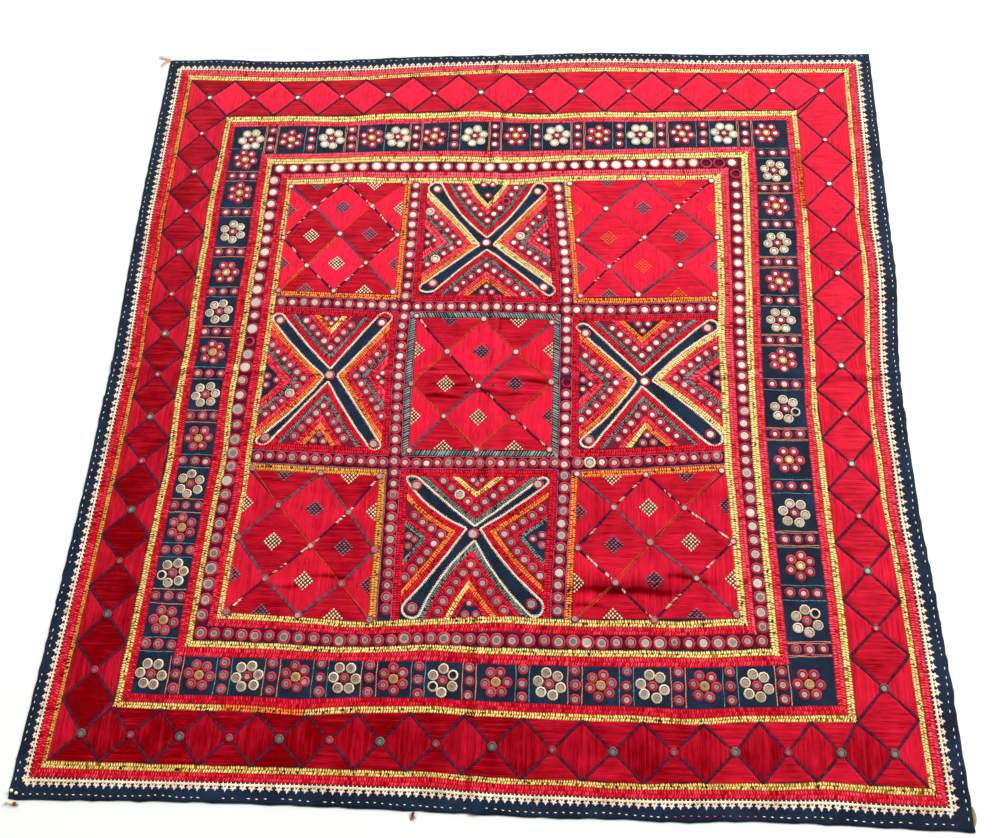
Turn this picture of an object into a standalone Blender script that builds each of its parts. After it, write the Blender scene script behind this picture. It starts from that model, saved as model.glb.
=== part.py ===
"""Embroidered mirror-work wall hanging, lying face up on a surface.

Metres, +Z up, +X to the right, +Y to the back edge. The cloth is first laid out on a straight chart, in millimetres
from its centre, and each point of the chart is then moved to where the hand-sewn seams really lie.
"""
import math

import bmesh
import bpy
import numpy as np
from mathutils import Vector

MM = 0.001
GAP = 0.3 * MM

# The centre of the whole part's box, measured on the cloth from its own centre. It becomes the origin.
BOX_CENTRE_U = -6.7
BOX_CENTRE_V = 1.35

# Where the seams lie. "chart" is a seam's straight place. "real" is its place at each station along it, from the
# front edge to the back edge for an upright seam, and from the left edge to the right edge for a level one.
STATIONS = (-500, -300, -130, 0, 150, 300, 500)
UPRIGHT_SEAMS = (
    # name            chart  real
    ("left_edge",      -525, (-527.5, -521.0, -516.5, -515.5, -520.5, -523.5, -525.0)),
    ("left_rose",      -493, (-499.0, -490.5, -485.5, -484.0, -488.0, -491.0, -492.0)),
    ("left_diamonds",  -485, (-491.0, -483.5, -477.0, -476.5, -480.0, -482.5, -484.0)),
    ("left_yellow",    -422, (-431.0, -424.0, -420.0, -422.0, -424.0, -423.0, -420.0)),
    ("left_flowers",   -404, (-413.0, -406.5, -402.0, -403.0, -404.0, -405.0, -405.0)),
    ("left_flowers_in", -357, (-367.0, -363.0, -359.5, -359.0, -358.5, -358.0, -357.5)),
    ("left_field",     -304, (-318.0, -315.0, -310.0, -307.0, -307.0, -307.5, -307.5)),
    ("left_strip",     -122, (-120.0, -121.5, -125.0, -130.0, -128.5, -128.0, -128.0)),
    ("right_strip",      88, (79.0, 80.0, 87.0, 88.0, 86.0, 72.0, 70.0)),
    ("right_field",     304, (292.0, 290.0, 284.0, 285.0, 288.5, 291.0, 292.0)),
    ("right_flowers_in", 357, (347.0, 340.0, 335.5, 336.5, 342.5, 349.0, 350.0)),
    ("right_flowers",   404, (393.0, 392.0, 388.0, 390.5, 394.5, 398.0, 398.0)),
    ("right_yellow",    422, (412.0, 410.5, 405.0, 405.5, 411.5, 414.0, 414.0)),
    ("right_diamonds",  485, (480.0, 475.0, 467.5, 467.0, 479.0, 482.0, 488.0)),
    ("right_rose",      493, (487.0, 481.5, 474.0, 473.5, 485.5, 488.0, 495.0)),
    ("right_edge",      525, (522.5, 516.5, 509.5, 509.5, 520.5, 524.0, 527.5)),
)
LEVEL_SEAMS = (
    # name            chart  real
    ("front_edge",     -525, (-534.5, -530.5, -530.5, -532.0, -533.0, -529.0, -531.0)),
    ("front_rose",     -493, (-500.0, -499.0, -497.0, -499.0, -501.0, -497.0, -496.0)),
    ("front_diamonds", -485, (-492.0, -491.0, -490.5, -493.0, -495.0, -490.0, -488.0)),
    ("front_yellow",   -422, (-432.0, -433.0, -430.0, -430.0, -431.0, -427.0, -421.0)),
    ("front_flowers",  -404, (-416.0, -416.0, -412.5, -413.0, -414.0, -411.0, -400.0)),
    ("front_flowers_in", -357, (-371.5, -371.0, -370.5, -370.0, -369.5, -364.5, -352.0)),
    ("front_field",    -304, (-316.5, -320.0, -324.0, -318.0, -317.5, -311.5, -310.0)),
    ("front_strip",    -118, (-117.0, -120.0, -125.5, -125.0, -121.5, -111.5, -109.0)),
    ("back_strip",      100, (105.0, 104.0, 98.0, 98.0, 94.0, 98.0, 98.0)),
    ("back_field",      304, (296.5, 297.5, 299.5, 300.5, 304.0, 306.5, 307.0)),
    ("back_flowers_in", 357, (349.5, 351.0, 355.0, 356.0, 357.0, 360.5, 362.0)),
    ("back_flowers",    404, (401.0, 403.0, 406.5, 408.0, 407.0, 409.0, 410.0)),
    ("back_yellow",     422, (420.0, 422.0, 426.0, 425.0, 424.0, 426.0, 427.0)),
    ("back_diamonds",   485, (489.5, 485.5, 493.0, 498.5, 500.0, 496.0, 494.5)),
    ("back_rose",       493, (499.5, 493.0, 500.0, 506.0, 508.0, 503.0, 502.0)),
    ("back_edge",       525, (529.5, 526.0, 533.0, 534.0, 537.5, 532.5, 531.0)),
)

# Height of the face over the surface, ring by ring from the edge inwards. "chart" is the ring's distance from the
# centre, and the crown of each sewn band stands proud of the cloth beside it.
FACE_RINGS = (
    # chart  height  what lies there
    (525.0, 1.7),  # folded edge
    (521.0, 2.4),  # hem, two layers
    (514.0, 1.9),  # plain ground
    (508.0, 2.5),  # cream spiked line
    (503.0, 2.2),
    (498.0, 2.7),  # rose band
    (493.0, 2.3),
    (489.0, 2.7),  # yellow band
    (485.0, 2.2),
    (453.0, 2.4),  # satin diamonds
    (422.0, 2.2),
    (417.5, 2.7),  # yellow band
    (413.0, 2.3),
    (408.5, 2.7),  # rose band
    (404.0, 1.9),
    (357.0, 1.9),  # ground of the flower band
    (352.5, 2.7),  # rose band
    (348.0, 2.3),
    (343.5, 2.7),  # yellow band
    (339.5, 1.9),
    (321.5, 1.9),  # ground of the mirror strip
    (317.0, 2.7),  # rose band
    (312.5, 2.3),
    (308.5, 2.7),  # yellow band
    (304.0, 2.0),
)
FIELD_HEIGHT = 2.0
FIELD_SWELL = 0.5
SQUARE_MIDDLES_X = (-213.0, -17.0, 196.0)
SQUARE_MIDDLES_Y = (-211.0, -9.0, 202.0)
STRIP_HALF_WIDTH = 9.0

# Storage creases, pressed into the cloth where it was folded in four. They stand up as soft ridges.
UPRIGHT_CREASE = -3.0
LEVEL_CREASE = 1.0
CREASE_HEIGHT = 1.1
CREASE_REACH = 10.0
UNDERSIDE_CORNER = 260.0

# Mirrors at the joints of the diamond border. Each side's run is given by a few of its joints, counted from the
# side's first corner, with their places along the side, and the joints between them are evenly spaced.
DIAMOND_MIDDLE = 453.5
JOINT_RUNS = {
    "back": ((0, -451.0), (3, -250.0), (6, -43.0), (8, 104.5), (13, 452.0)),
    "front": ((0, -457.5), (6, -115.0), (8, 10.5), (12, 277.0), (15, 448.0)),
    "left": ((0, 456.0), (3, 250.0), (5, 114.0), (9, -130.0), (14, -456.0)),
    "right": ((0, 460.0), (1, 372.0), (3, 221.0), (6, 15.0), (13, -452.5)),
}
LARGE_MIRROR_RADIUS = 4.2
SMALL_MIRROR_RADIUS = 3.6
MIRROR_THICKNESS = 1.0
MIRROR_EDGE_TAPER = 0.2
MIRROR_SIDES = 16

# Loose thread ends. A tuft's knot lies just outside the cloth's edge, beside the chart point "beside" in the heading
# "outward", and each of its locks has a length and a heading. Headings are in degrees, from +X towards +Y.
LOCK_SIDES = 4
LOCK_TIP = 0.35
BACK_LEFT_TUFT = {"beside": (-525.0, 525.0), "outward": 135.0, "knot": 1.6, "lock": 1.1}
BACK_LEFT_LOCKS = ((19.0, 139.0), (17.0, 128.0), (12.0, 112.0), (13.0, 158.0), (10.0, 176.0))
FRONT_TUFT = {"beside": (-72.0, -525.0), "outward": 270.0, "knot": 1.7, "lock": 1.5}
FRONT_LOCKS = ((6.5, 250.0), (8.5, 271.0), (6.0, 292.0))
CORNER_KNOT = {"beside": (-525.0, -525.0), "outward": 262.0, "knot": 2.4, "lock": 1.4}
CORNER_LOCKS = ((9.0, -14.0), (4.5, 215.0))
RUST_KNOT_RADIUS = 2.4
RUST_KNOT_OFFSET = (8.2, -2.2)

# The lining sliver is a crescent along the front right corner's right edge.
SLIVER_FROM_V = -506.0
SLIVER_TO_V = -525.0
SLIVER_WIDTH = 4.2
SLIVER_THICKNESS = 1.2
SLIVER_STEPS = 8

COLOURS = {
    # name            red    green  blue   roughness metallic
    "navy_cotton": (0.014, 0.025, 0.068, 0.90, 0.0),
    "mirror_glass": (0.55, 0.56, 0.53, 0.12, 0.9),
    "pink_thread": (0.70, 0.36, 0.33, 0.75, 0.0),
    "rust_thread": (0.28, 0.07, 0.03, 0.80, 0.0),
    "cream_thread": (0.62, 0.50, 0.31, 0.75, 0.0),
    "khaki_lining": (0.29, 0.24, 0.11, 0.85, 0.0),
}


def clear_scene():
    """Removes what the file starts with."""
    for thing in list(bpy.data.objects):
        bpy.data.objects.remove(thing, do_unlink=True)


def new_collection(name):
    collection = bpy.data.collections.new(name)
    bpy.context.scene.collection.children.link(collection)
    return collection


def material(name):
    red, green, blue, roughness, metallic = COLOURS[name]
    finish = bpy.data.materials.get(name)
    if finish is None:
        finish = bpy.data.materials.new(name)
        finish.use_nodes = True
        shader = finish.node_tree.nodes["Principled BSDF"]
        shader.inputs["Base Color"].default_value = (red, green, blue, 1.0)
        shader.inputs["Roughness"].default_value = roughness
        shader.inputs["Metallic"].default_value = metallic
    return finish


def smooth_between(places, stations, values):
    """Values at the given places, on a cubic curve through the stations whose slopes are the neighbours' own."""
    stations = np.asarray(stations, float)
    values = np.asarray(values, float)
    slopes = np.gradient(values, stations)
    places = np.clip(places, stations[0], stations[-1])
    left = np.clip(np.searchsorted(stations, places) - 1, 0, len(stations) - 2)
    width = stations[left + 1] - stations[left]
    t = (places - stations[left]) / width
    start = (1 + 2 * t) * (1 - t) ** 2
    end = t * t * (3 - 2 * t)
    leave = t * (1 - t) ** 2 * width
    arrive = t * t * (t - 1) * width
    return start * values[left] + end * values[left + 1] + leave * slopes[left] + arrive * slopes[left + 1]


def across_seams(seams, across, along):
    """Real places of chart points: each seam's real place beside the point, then a straight step between seams."""
    chart = np.array([row[1] for row in seams], float)
    real = np.stack([smooth_between(along, STATIONS, row[2]) for row in seams])
    left = np.clip(np.searchsorted(chart, across) - 1, 0, len(chart) - 2)
    share = (across - chart[left]) / (chart[left + 1] - chart[left])
    point = np.arange(len(across))
    return real[left, point] * (1 - share) + real[left + 1, point] * share


def lie(x, y):
    """Chart points, in millimetres, to where they lie on the surface, in metres from the part's origin."""
    x = np.atleast_1d(np.asarray(x, float))
    y = np.atleast_1d(np.asarray(y, float))
    u = across_seams(UPRIGHT_SEAMS, x, y) - BOX_CENTRE_U
    v = across_seams(LEVEL_SEAMS, y, x) - BOX_CENTRE_V
    return u * MM, v * MM


def ridge(distance):
    """A soft fold: one over its middle, and falling to nothing at its reach by half a cosine wave."""
    share = np.clip(np.abs(distance) / CREASE_REACH, 0.0, 1.0)
    return 0.5 * (1.0 + np.cos(math.pi * share))


def face_height(x, y):
    """Height of the face over the surface, in millimetres, at chart points."""
    rings = np.array([row[:2] for row in FACE_RINGS])[::-1]
    ring = np.maximum(np.abs(x), np.abs(y))
    border = np.interp(ring, rings[:, 0], rings[:, 1])
    middle_x = np.min([np.abs(x - middle) for middle in SQUARE_MIDDLES_X], axis=0)
    middle_y = np.min([np.abs(y - middle) for middle in SQUARE_MIDDLES_Y], axis=0)
    swell = FIELD_SWELL * np.clip(1 - middle_x / 80, 0, 1) * np.clip(1 - middle_y / 80, 0, 1)
    height = np.where(ring < rings[0, 0], FIELD_HEIGHT + swell, border)
    folds = np.maximum(ridge(x - UPRIGHT_CREASE), ridge(y - LEVEL_CREASE))
    fade = 0.75 + 0.25 * np.cos((x + y) / 90)
    return height + CREASE_HEIGHT * folds * fade


def grid_lines(strips, middles, crease):
    """Chart lines across the cloth: both sides of each ring, the field's strips and squares, and the crease."""
    rings = [row[0] for row in FACE_RINGS]
    lines = [-ring for ring in rings] + rings
    for strip in strips:
        lines += [strip - STRIP_HALF_WIDTH, strip, strip + STRIP_HALF_WIDTH]
    lines += [middle for middle in middles if abs(middle - crease) > 2 * CREASE_REACH]
    lines += [crease - CREASE_REACH, crease, crease + CREASE_REACH]
    return np.array(sorted(lines))


def new_object(name, mesh, finish, collection):
    thing = bpy.data.objects.new(name, mesh)
    thing.data.materials.append(material(finish))
    collection.objects.link(thing)
    return thing


def build_cloth(collection):
    """One sheet: a grid laid on the chart lines, raised to the face, walled down to its edge and closed below."""
    x_lines = grid_lines((-122.0, 88.0), SQUARE_MIDDLES_X, UPRIGHT_CREASE)
    y_lines = grid_lines((-118.0, 100.0), SQUARE_MIDDLES_Y, LEVEL_CREASE)
    bm = bmesh.new()
    columns, rows = len(x_lines) - 1, len(y_lines) - 1
    grid = bmesh.ops.create_grid(bm, x_segments=columns, y_segments=rows, size=0.5)["verts"]
    column = np.rint([(vert.co.x + 0.5) * columns for vert in grid]).astype(int)
    row = np.rint([(vert.co.y + 0.5) * rows for vert in grid]).astype(int)
    x, y = x_lines[column], y_lines[row]
    u, v = lie(x, y)
    height = face_height(x, y)
    for vert, along, across, up in zip(grid, u, v, height):
        vert.co = (along, across, up * MM)

    rim = [edge for edge in bm.edges if edge.is_boundary]
    wall = bmesh.ops.extrude_edge_only(bm, edges=rim)["geom"]
    foot = [item for item in wall if isinstance(item, bmesh.types.BMEdge) and item.is_boundary]
    for vert in {vert for edge in foot for vert in edge.verts}:
        vert.co.z = 0.0
    # The underside is flat, so it fans from the edge to four inner corners and one square between them.
    fan = bmesh.ops.extrude_edge_only(bm, edges=foot)["geom"]
    inner = [item for item in fan if isinstance(item, bmesh.types.BMVert)]
    for vert in inner:
        vert.co.x = math.copysign(UNDERSIDE_CORNER * MM, vert.co.x)
        vert.co.y = math.copysign(UNDERSIDE_CORNER * MM, vert.co.y)
    bmesh.ops.remove_doubles(bm, verts=inner, dist=0.0001)
    bmesh.ops.holes_fill(bm, edges=[edge for edge in bm.edges if edge.is_boundary], sides=4)
    bmesh.ops.recalc_face_normals(bm, faces=bm.faces)
    mesh = bpy.data.meshes.new("ground_cloth")
    bm.to_mesh(mesh)
    bm.free()
    return new_object("ground_cloth", mesh, "navy_cotton", collection)


def joint_places(run):
    """Places along a side of all its diamond joints, from the few in its row."""
    joints = [joint for joint, along in run]
    return np.interp(range(joints[-1] + 1), joints, [along for joint, along in run])


def chart_of(seams, real, across):
    """Chart place of a real one, found by halving along the line at the given chart place across it."""
    low, high = -525.0, 525.0
    for step in range(30):
        middle = (low + high) / 2
        if across_seams(seams, np.array([middle]), np.array([across]))[0] < real:
            low = middle
        else:
            high = middle
    return (low + high) / 2


def mirror_joints():
    """Name, chart place and radius of each mirror. A corner's mirror belongs to the back or front side."""
    for side, run in JOINT_RUNS.items():
        places = joint_places(run)
        for joint, along in enumerate(places):
            corner = joint in (0, len(places) - 1)
            if corner and side in ("left", "right"):
                continue
            radius = SMALL_MIRROR_RADIUS if joint % 2 and not corner else LARGE_MIRROR_RADIUS
            name = f"mirror_{side}_{joint + 1:02d}"
            if side in ("back", "front"):
                y = DIAMOND_MIDDLE if side == "back" else -DIAMOND_MIDDLE
                x = chart_of(UPRIGHT_SEAMS, along, y)
            else:
                x = DIAMOND_MIDDLE if side == "right" else -DIAMOND_MIDDLE
                y = chart_of(LEVEL_SEAMS, along, x)
            yield name, x, y, radius


def build_mirrors(collection):
    """A thin glass disc at each joint, its edge tapered, resting a hair over the highest cloth beneath it."""
    turn = np.arange(MIRROR_SIDES) * 2 * math.pi / MIRROR_SIDES
    for name, x, y, radius in mirror_joints():
        beneath = face_height(x + radius * np.cos(turn), y + radius * np.sin(turn))
        top_of_cloth = max(beneath.max(), face_height(x, y))
        bm = bmesh.new()
        bmesh.ops.create_cone(
            bm, cap_ends=True, segments=MIRROR_SIDES, radius1=radius * MM,
            radius2=(radius - MIRROR_EDGE_TAPER) * MM, depth=MIRROR_THICKNESS * MM)
        mesh = bpy.data.meshes.new(name)
        bm.to_mesh(mesh)
        bm.free()
        mesh.shade_smooth()
        mesh.set_sharp_from_angle(angle=math.radians(35))
        disc = new_object(name, mesh, "mirror_glass", collection)
        u, v = lie(x, y)
        disc.location = (u[0], v[0], (top_of_cloth + MIRROR_THICKNESS / 2) * MM + GAP)


def knot_mesh(name, radius):
    """A small knot of thread, as a ball with few sides."""
    bm = bmesh.new()
    bmesh.ops.create_uvsphere(bm, u_segments=10, v_segments=6, radius=radius * MM)
    mesh = bpy.data.meshes.new(name)
    bm.to_mesh(mesh)
    bm.free()
    mesh.shade_smooth()
    return mesh


def knot_place(tuft):
    """Centre of a tuft's knot: a gap outside the cloth's edge, and resting on the surface."""
    u, v = lie(*tuft["beside"])
    reach = tuft["knot"] * MM + GAP
    outward = math.radians(tuft["outward"])
    return Vector((u[0] + reach * math.cos(outward), v[0] + reach * math.sin(outward), tuft["knot"] * MM))


def make_cutter(thing):
    thing.hide_render = True
    thing.display_type = "WIRE"


def add_lock(name, tuft, length, heading, cutters):
    """One lock of threads: a four-sided taper that leaves the knot level with the surface."""
    bm = bmesh.new()
    bmesh.ops.create_cone(
        bm, cap_ends=True, segments=LOCK_SIDES, radius1=tuft["lock"] * MM,
        radius2=LOCK_TIP * tuft["lock"] * MM, depth=length * MM)
    mesh = bpy.data.meshes.new(name)
    bm.to_mesh(mesh)
    bm.free()
    lock = bpy.data.objects.new(name, mesh)
    cutters.objects.link(lock)
    turn = math.radians(heading)
    halfway = Vector((math.cos(turn), math.sin(turn), 0.0)) * length * MM / 2
    lock.location = knot_place(tuft) + halfway
    lock.rotation_euler = (0.0, math.pi / 2, turn)
    make_cutter(lock)
    return lock


def join(thing, other):
    union = thing.modifiers.new(f"join_{other.name}", "BOOLEAN")
    union.operation = "UNION"
    union.object = other


def build_tuft(name, tuft, locks, finish, collection, cutters):
    """A knot with loose locks fused to it."""
    knot = new_object(name, knot_mesh(name, tuft["knot"]), finish, collection)
    knot.location = knot_place(tuft)
    for number, (length, heading) in enumerate(locks):
        join(knot, add_lock(f"{name}_lock_{number}", tuft, length, heading, cutters))
    return knot


def build_corner_knots(collection, cutters):
    """The cream knot at the front left corner, with the rust knot on its thread."""
    cream = build_tuft("corner_knots_front_left", CORNER_KNOT, CORNER_LOCKS, "cream_thread", collection, cutters)
    rust = new_object("rust_knot", knot_mesh("rust_knot", RUST_KNOT_RADIUS), "rust_thread", cutters)
    across, along = RUST_KNOT_OFFSET
    rust.location = cream.location + Vector((across, along, 0.0)) * MM
    make_cutter(rust)
    join(cream, rust)


def build_sliver(collection):
    """A frayed crescent of lining: a flat outline that follows the cloth's edge inside and bows out beyond it."""
    share = np.linspace(0.0, 1.0, SLIVER_STEPS)
    v = SLIVER_FROM_V + share * (SLIVER_TO_V - SLIVER_FROM_V)
    chart_y = np.array([chart_of(LEVEL_SEAMS, place_v, 525.0) for place_v in v])
    edge_u, edge_v = lie(np.full(SLIVER_STEPS, 525.0), chart_y)
    inner_u = edge_u + GAP
    bow = (0.5 + SLIVER_WIDTH * np.sin(math.pi * share) ** 0.8) * MM
    outline = list(zip(inner_u, edge_v)) + list(zip(inner_u + bow, edge_v))[::-1]
    curve = bpy.data.curves.new("lining_sliver", "CURVE")
    curve.dimensions = "2D"
    curve.fill_mode = "BOTH"
    curve.extrude = SLIVER_THICKNESS / 2 * MM
    spline = curve.splines.new("POLY")
    spline.points.add(len(outline) - 1)
    for point, (u, v) in zip(spline.points, outline):
        point.co = (u, v, 0.0, 1.0)
    spline.use_cyclic_u = True
    sliver = new_object("lining_sliver", curve, "khaki_lining", collection)
    sliver.location.z = SLIVER_THICKNESS / 2 * MM


def main():
    clear_scene()
    hanging = new_collection("embroidered_wall_hanging")
    cutters = new_collection("cutters")
    build_cloth(hanging)
    build_mirrors(hanging)
    build_tuft("thread_tuft_back_left", BACK_LEFT_TUFT, BACK_LEFT_LOCKS, "pink_thread", hanging, cutters)
    build_tuft("thread_tuft_front", FRONT_TUFT, FRONT_LOCKS, "rust_thread", hanging, cutters)
    build_corner_knots(hanging, cutters)
    build_sliver(hanging)


main()
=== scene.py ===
"""Looks of the embroidered mirror-work wall hanging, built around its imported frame.

The cloth lies face up. Places on it are in millimetres from its own centre, u to the right and v to the
back edge, and place() moves them to the frame's metres. A straight chart of the seams is bent to where they
really lie by lay().
"""

import math

import bpy
import numpy as np
from mathutils import Matrix, Vector


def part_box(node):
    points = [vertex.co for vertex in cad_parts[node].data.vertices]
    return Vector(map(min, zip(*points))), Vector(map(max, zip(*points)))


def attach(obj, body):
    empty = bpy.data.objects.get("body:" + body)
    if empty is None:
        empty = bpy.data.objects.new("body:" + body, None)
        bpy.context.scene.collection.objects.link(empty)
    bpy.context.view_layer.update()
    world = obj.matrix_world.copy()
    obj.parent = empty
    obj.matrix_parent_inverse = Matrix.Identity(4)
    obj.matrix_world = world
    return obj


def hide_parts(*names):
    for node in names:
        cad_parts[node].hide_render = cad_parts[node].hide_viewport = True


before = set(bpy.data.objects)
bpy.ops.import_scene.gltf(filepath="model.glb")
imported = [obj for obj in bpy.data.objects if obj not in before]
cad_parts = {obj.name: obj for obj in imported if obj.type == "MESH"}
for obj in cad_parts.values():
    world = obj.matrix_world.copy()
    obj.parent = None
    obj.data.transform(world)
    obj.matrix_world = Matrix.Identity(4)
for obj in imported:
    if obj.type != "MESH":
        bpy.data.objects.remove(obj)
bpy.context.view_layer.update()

bl_info = {
    "name": "Embroidered mirror-work wall hanging",
    "version": (1, 0, 0),
    "blender": (4, 5, 0),
    "location": "3D View > Sidebar > Hanging",
    "description": "Silk floss, mirrors, couched lines and hem of a nine-patch wall hanging, and its studio",
    "category": "Object",
}

MM = 0.001
# In millimetres: the frame's origin as the cloth's own u and v, the height that stitches stand on, the
# underside's height, and the cloth's edge on the chart.
BOX_CENTRE_U = -6.7
BOX_CENTRE_V = 1.35
CLOTH_TOP = 1.9
UNDERSIDE = 0.15
EDGE = 525.0

# Where the seams lie: a seam's straight place on the chart, then its real place at each station along it.
STATIONS = (-500, -300, -130, 0, 150, 300, 500)
UPRIGHT_SEAMS = (
    # chart  real, from the front edge to the back edge
    (-525, (-527.5, -521.0, -516.5, -515.5, -520.5, -523.5, -525.0)),
    (-493, (-499.0, -490.5, -485.5, -484.0, -488.0, -491.0, -492.0)),
    (-485, (-491.0, -483.5, -477.0, -476.5, -480.0, -482.5, -484.0)),
    (-422, (-431.0, -424.0, -420.0, -422.0, -424.0, -423.0, -420.0)),
    (-404, (-413.0, -406.5, -402.0, -403.0, -404.0, -405.0, -405.0)),
    (-357, (-367.0, -363.0, -359.5, -359.0, -358.5, -358.0, -357.5)),
    (-304, (-318.0, -315.0, -310.0, -307.0, -307.0, -307.5, -307.5)),
    (-122, (-120.0, -121.5, -125.0, -130.0, -128.5, -128.0, -128.0)),
    (88, (79.0, 80.0, 87.0, 88.0, 86.0, 72.0, 70.0)),
    (304, (292.0, 290.0, 284.0, 285.0, 288.5, 291.0, 292.0)),
    (357, (347.0, 340.0, 335.5, 336.5, 342.5, 349.0, 350.0)),
    (404, (393.0, 392.0, 388.0, 390.5, 394.5, 398.0, 398.0)),
    (422, (412.0, 410.5, 405.0, 405.5, 411.5, 414.0, 414.0)),
    (485, (480.0, 475.0, 467.5, 467.0, 479.0, 482.0, 488.0)),
    (493, (487.0, 481.5, 474.0, 473.5, 485.5, 488.0, 495.0)),
    (525, (522.5, 516.5, 509.5, 509.5, 520.5, 524.0, 527.5)),
)
LEVEL_SEAMS = (
    # chart  real, from the left edge to the right edge
    (-525, (-534.5, -530.5, -530.5, -532.0, -533.0, -529.0, -531.0)),
    (-493, (-500.0, -499.0, -497.0, -499.0, -501.0, -497.0, -496.0)),
    (-485, (-492.0, -491.0, -490.5, -493.0, -495.0, -490.0, -488.0)),
    (-422, (-432.0, -433.0, -430.0, -430.0, -431.0, -427.0, -421.0)),
    (-404, (-416.0, -416.0, -412.5, -413.0, -414.0, -411.0, -400.0)),
    (-357, (-371.5, -371.0, -370.5, -370.0, -369.5, -364.5, -352.0)),
    (-304, (-316.5, -320.0, -324.0, -318.0, -317.5, -311.5, -310.0)),
    (-118, (-117.0, -120.0, -125.5, -125.0, -121.5, -111.5, -109.0)),
    (100, (105.0, 104.0, 98.0, 98.0, 94.0, 98.0, 98.0)),
    (304, (296.5, 297.5, 299.5, 300.5, 304.0, 306.5, 307.0)),
    (357, (349.5, 351.0, 355.0, 356.0, 357.0, 360.5, 362.0)),
    (404, (401.0, 403.0, 406.5, 408.0, 407.0, 409.0, 410.0)),
    (422, (420.0, 422.0, 426.0, 425.0, 424.0, 426.0, 427.0)),
    (485, (489.5, 485.5, 493.0, 498.5, 500.0, 496.0, 494.5)),
    (493, (499.5, 493.0, 500.0, 506.0, 508.0, 503.0, 502.0)),
    (525, (529.5, 526.0, 533.0, 534.0, 537.5, 532.5, 531.0)),
)
SIDES = ("back", "right", "front", "left")
UPRIGHT_SIDES = ("right", "left")
SIGN = {"back": 1, "right": 1, "front": -1, "left": -1}

# Storage creases and the small puckers beside them.
UPRIGHT_CREASE = -3.0
LEVEL_CREASE = 1.0
CREASE_HEIGHT = 1.7
CREASE_REACH = 8.5
PUCKERS = (
    # u      v    half length, reach behind the crest and in front of it, height, turn in degrees
    (-62.0, -14.0, 38.0, 4.2, 2.6, 1.10, 2.0),
    (-70.0, -31.0, 30.0, 4.0, 2.4, 1.40, -3.0),
    (-20.0, -24.0, 34.0, 4.0, 2.6, 0.90, 4.0),
    (50.0, -9.0, 34.0, 4.2, 2.6, 1.30, -2.0),
    (22.0, -27.0, 40.0, 4.0, 2.6, 0.90, 1.0),
    (-90.0, 6.0, 26.0, 4.0, 2.8, 0.80, 0.0),
    (-6.0, 66.0, 20.0, 4.0, 3.4, 1.00, 90.0),
    (-13.0, 24.0, 16.0, 4.0, 3.4, 0.80, 86.0),
    (160.0, -271.0, 78.0, 18.0, 8.0, 4.60, -1.0),
    (238.0, -258.0, 36.0, 9.0, 6.0, 1.70, -8.0),
    (112.0, -297.0, 28.0, 5.0, 3.0, 1.30, 2.0),
    (-236.0, -283.0, 26.0, 5.0, 2.6, 1.10, 3.0),
    (-196.0, -270.0, 40.0, 5.5, 3.0, 0.90, -2.0),
    (150.0, 286.0, 32.0, 4.2, 3.4, 0.60, -8.0),
    (-300.0, 2.0, 60.0, 5.0, 4.0, 0.50, 3.0),
    (446.0, 0.0, 44.0, 5.5, 4.0, 0.90, 4.0),
    (-318.0, 474.0, 18.0, 3.0, 3.0, 0.60, -16.0),
    (492.0, -60.0, 22.0, 6.0, 5.0, 0.80, 14.0),
)

# Where the cloth is pulled outwards or inwards, so that its bands waver: half a pull is left 32 mm further
# along.
PULLS = {
    # side: chart place along it, inset, shift outwards in mm
    "back": ((-215, 307, 3.6), (20, 307, -4.0), (270, 307, -2.6), (-190, 343, 1.4), (-10, 343, -2.6),
             (50, 343, -2.6), (-240, 417, -3.6), (-42, 417, 3.6), (54, 417, -2.4), (150, 417, 2.4),
             (-200, 490, -1.6), (45, 490, -2.6), (-440, 525, 2.6)),
    "right": ((55, 307, -2.0), (-183, 307, 1.6), (-45, 417, -2.4), (221, 417, 1.6), (-180, 490, -2.2),
              (236, 490, -3.6), (-70, 490, -2.0), (150, 525, 1.2), (-200, 525, -1.2)),
    "front": ((-155, 307, 2.8), (20, 307, -1.8), (240, 307, 2.8), (-180, 343, 1.8), (-65, 343, -3.2),
              (260, 343, 1.8), (-205, 417, 4.4), (-60, 417, -2.4), (240, 417, 3.4), (-55, 490, -2.8),
              (105, 490, -1.8), (385, 490, -3.2), (150, 525, -1.4), (235, 525, 1.6)),
    "left": ((-165, 307, -3.7), (-120, 343, -2.8), (-35, 343, 1.8), (195, 343, -1.9), (-125, 417, -2.6),
             (40, 417, -2.3), (274, 417, 2.0), (13, 490, -2.5), (246, 490, 2.1), (-60, 525, 1.0)),
}

# Width of the bands that frame a square and a star.
SQUARE_FRAME = 8.0
STAR_FRAME = 9.5
# Heights of the padding under upright and level runs of mirrors, which cross each other.
UPRIGHT_PADDING = 0.22
LEVEL_PADDING = 0.12
# Radius of the roll by which the cloth's face comes down at its edge.
ROLL = 2.4
# Distance between the mirrors of a star's rows, and between the dots of a patch of dots, and the patch's
# reach.
STAR_PITCH = 13.6
DOT_STEP = 3.55
PATCH_REACH = 12.2
GLASS_SIDES = 12
# Insets between which the diamonds stand, the flower band's lines run and the row of mirrors is padded, and
# how far to each side of its middle line a strip of mirrors is padded, and how far along.
DIAMOND_OUTER = 485.4
DIAMOND_INNER = 421.6
FLOWER_LINE_ENDS = (403.0, 358.0)
MIRROR_BAND = (338.0, 322.5)
STRIP_HALF = 7.6
STRIP_END = 301.0
# Along the hem: insets of the cream cord's stitches and of its pegs, of a spike's feet and neck and of the
# running stitch, how far along a side each reaches, and where along the front the running stitch is red.
CORD = (504.7, 506.6)
PEG = (502.5, 505.8)
SPIKE_FEET = 506.4
SPIKE_NECK = 509.4
RUNNING = 519.6
CORD_END = 504
RUNNING_END = 514
RED_STRETCH = (205, 300)
RING_STATIONS = 18

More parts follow.
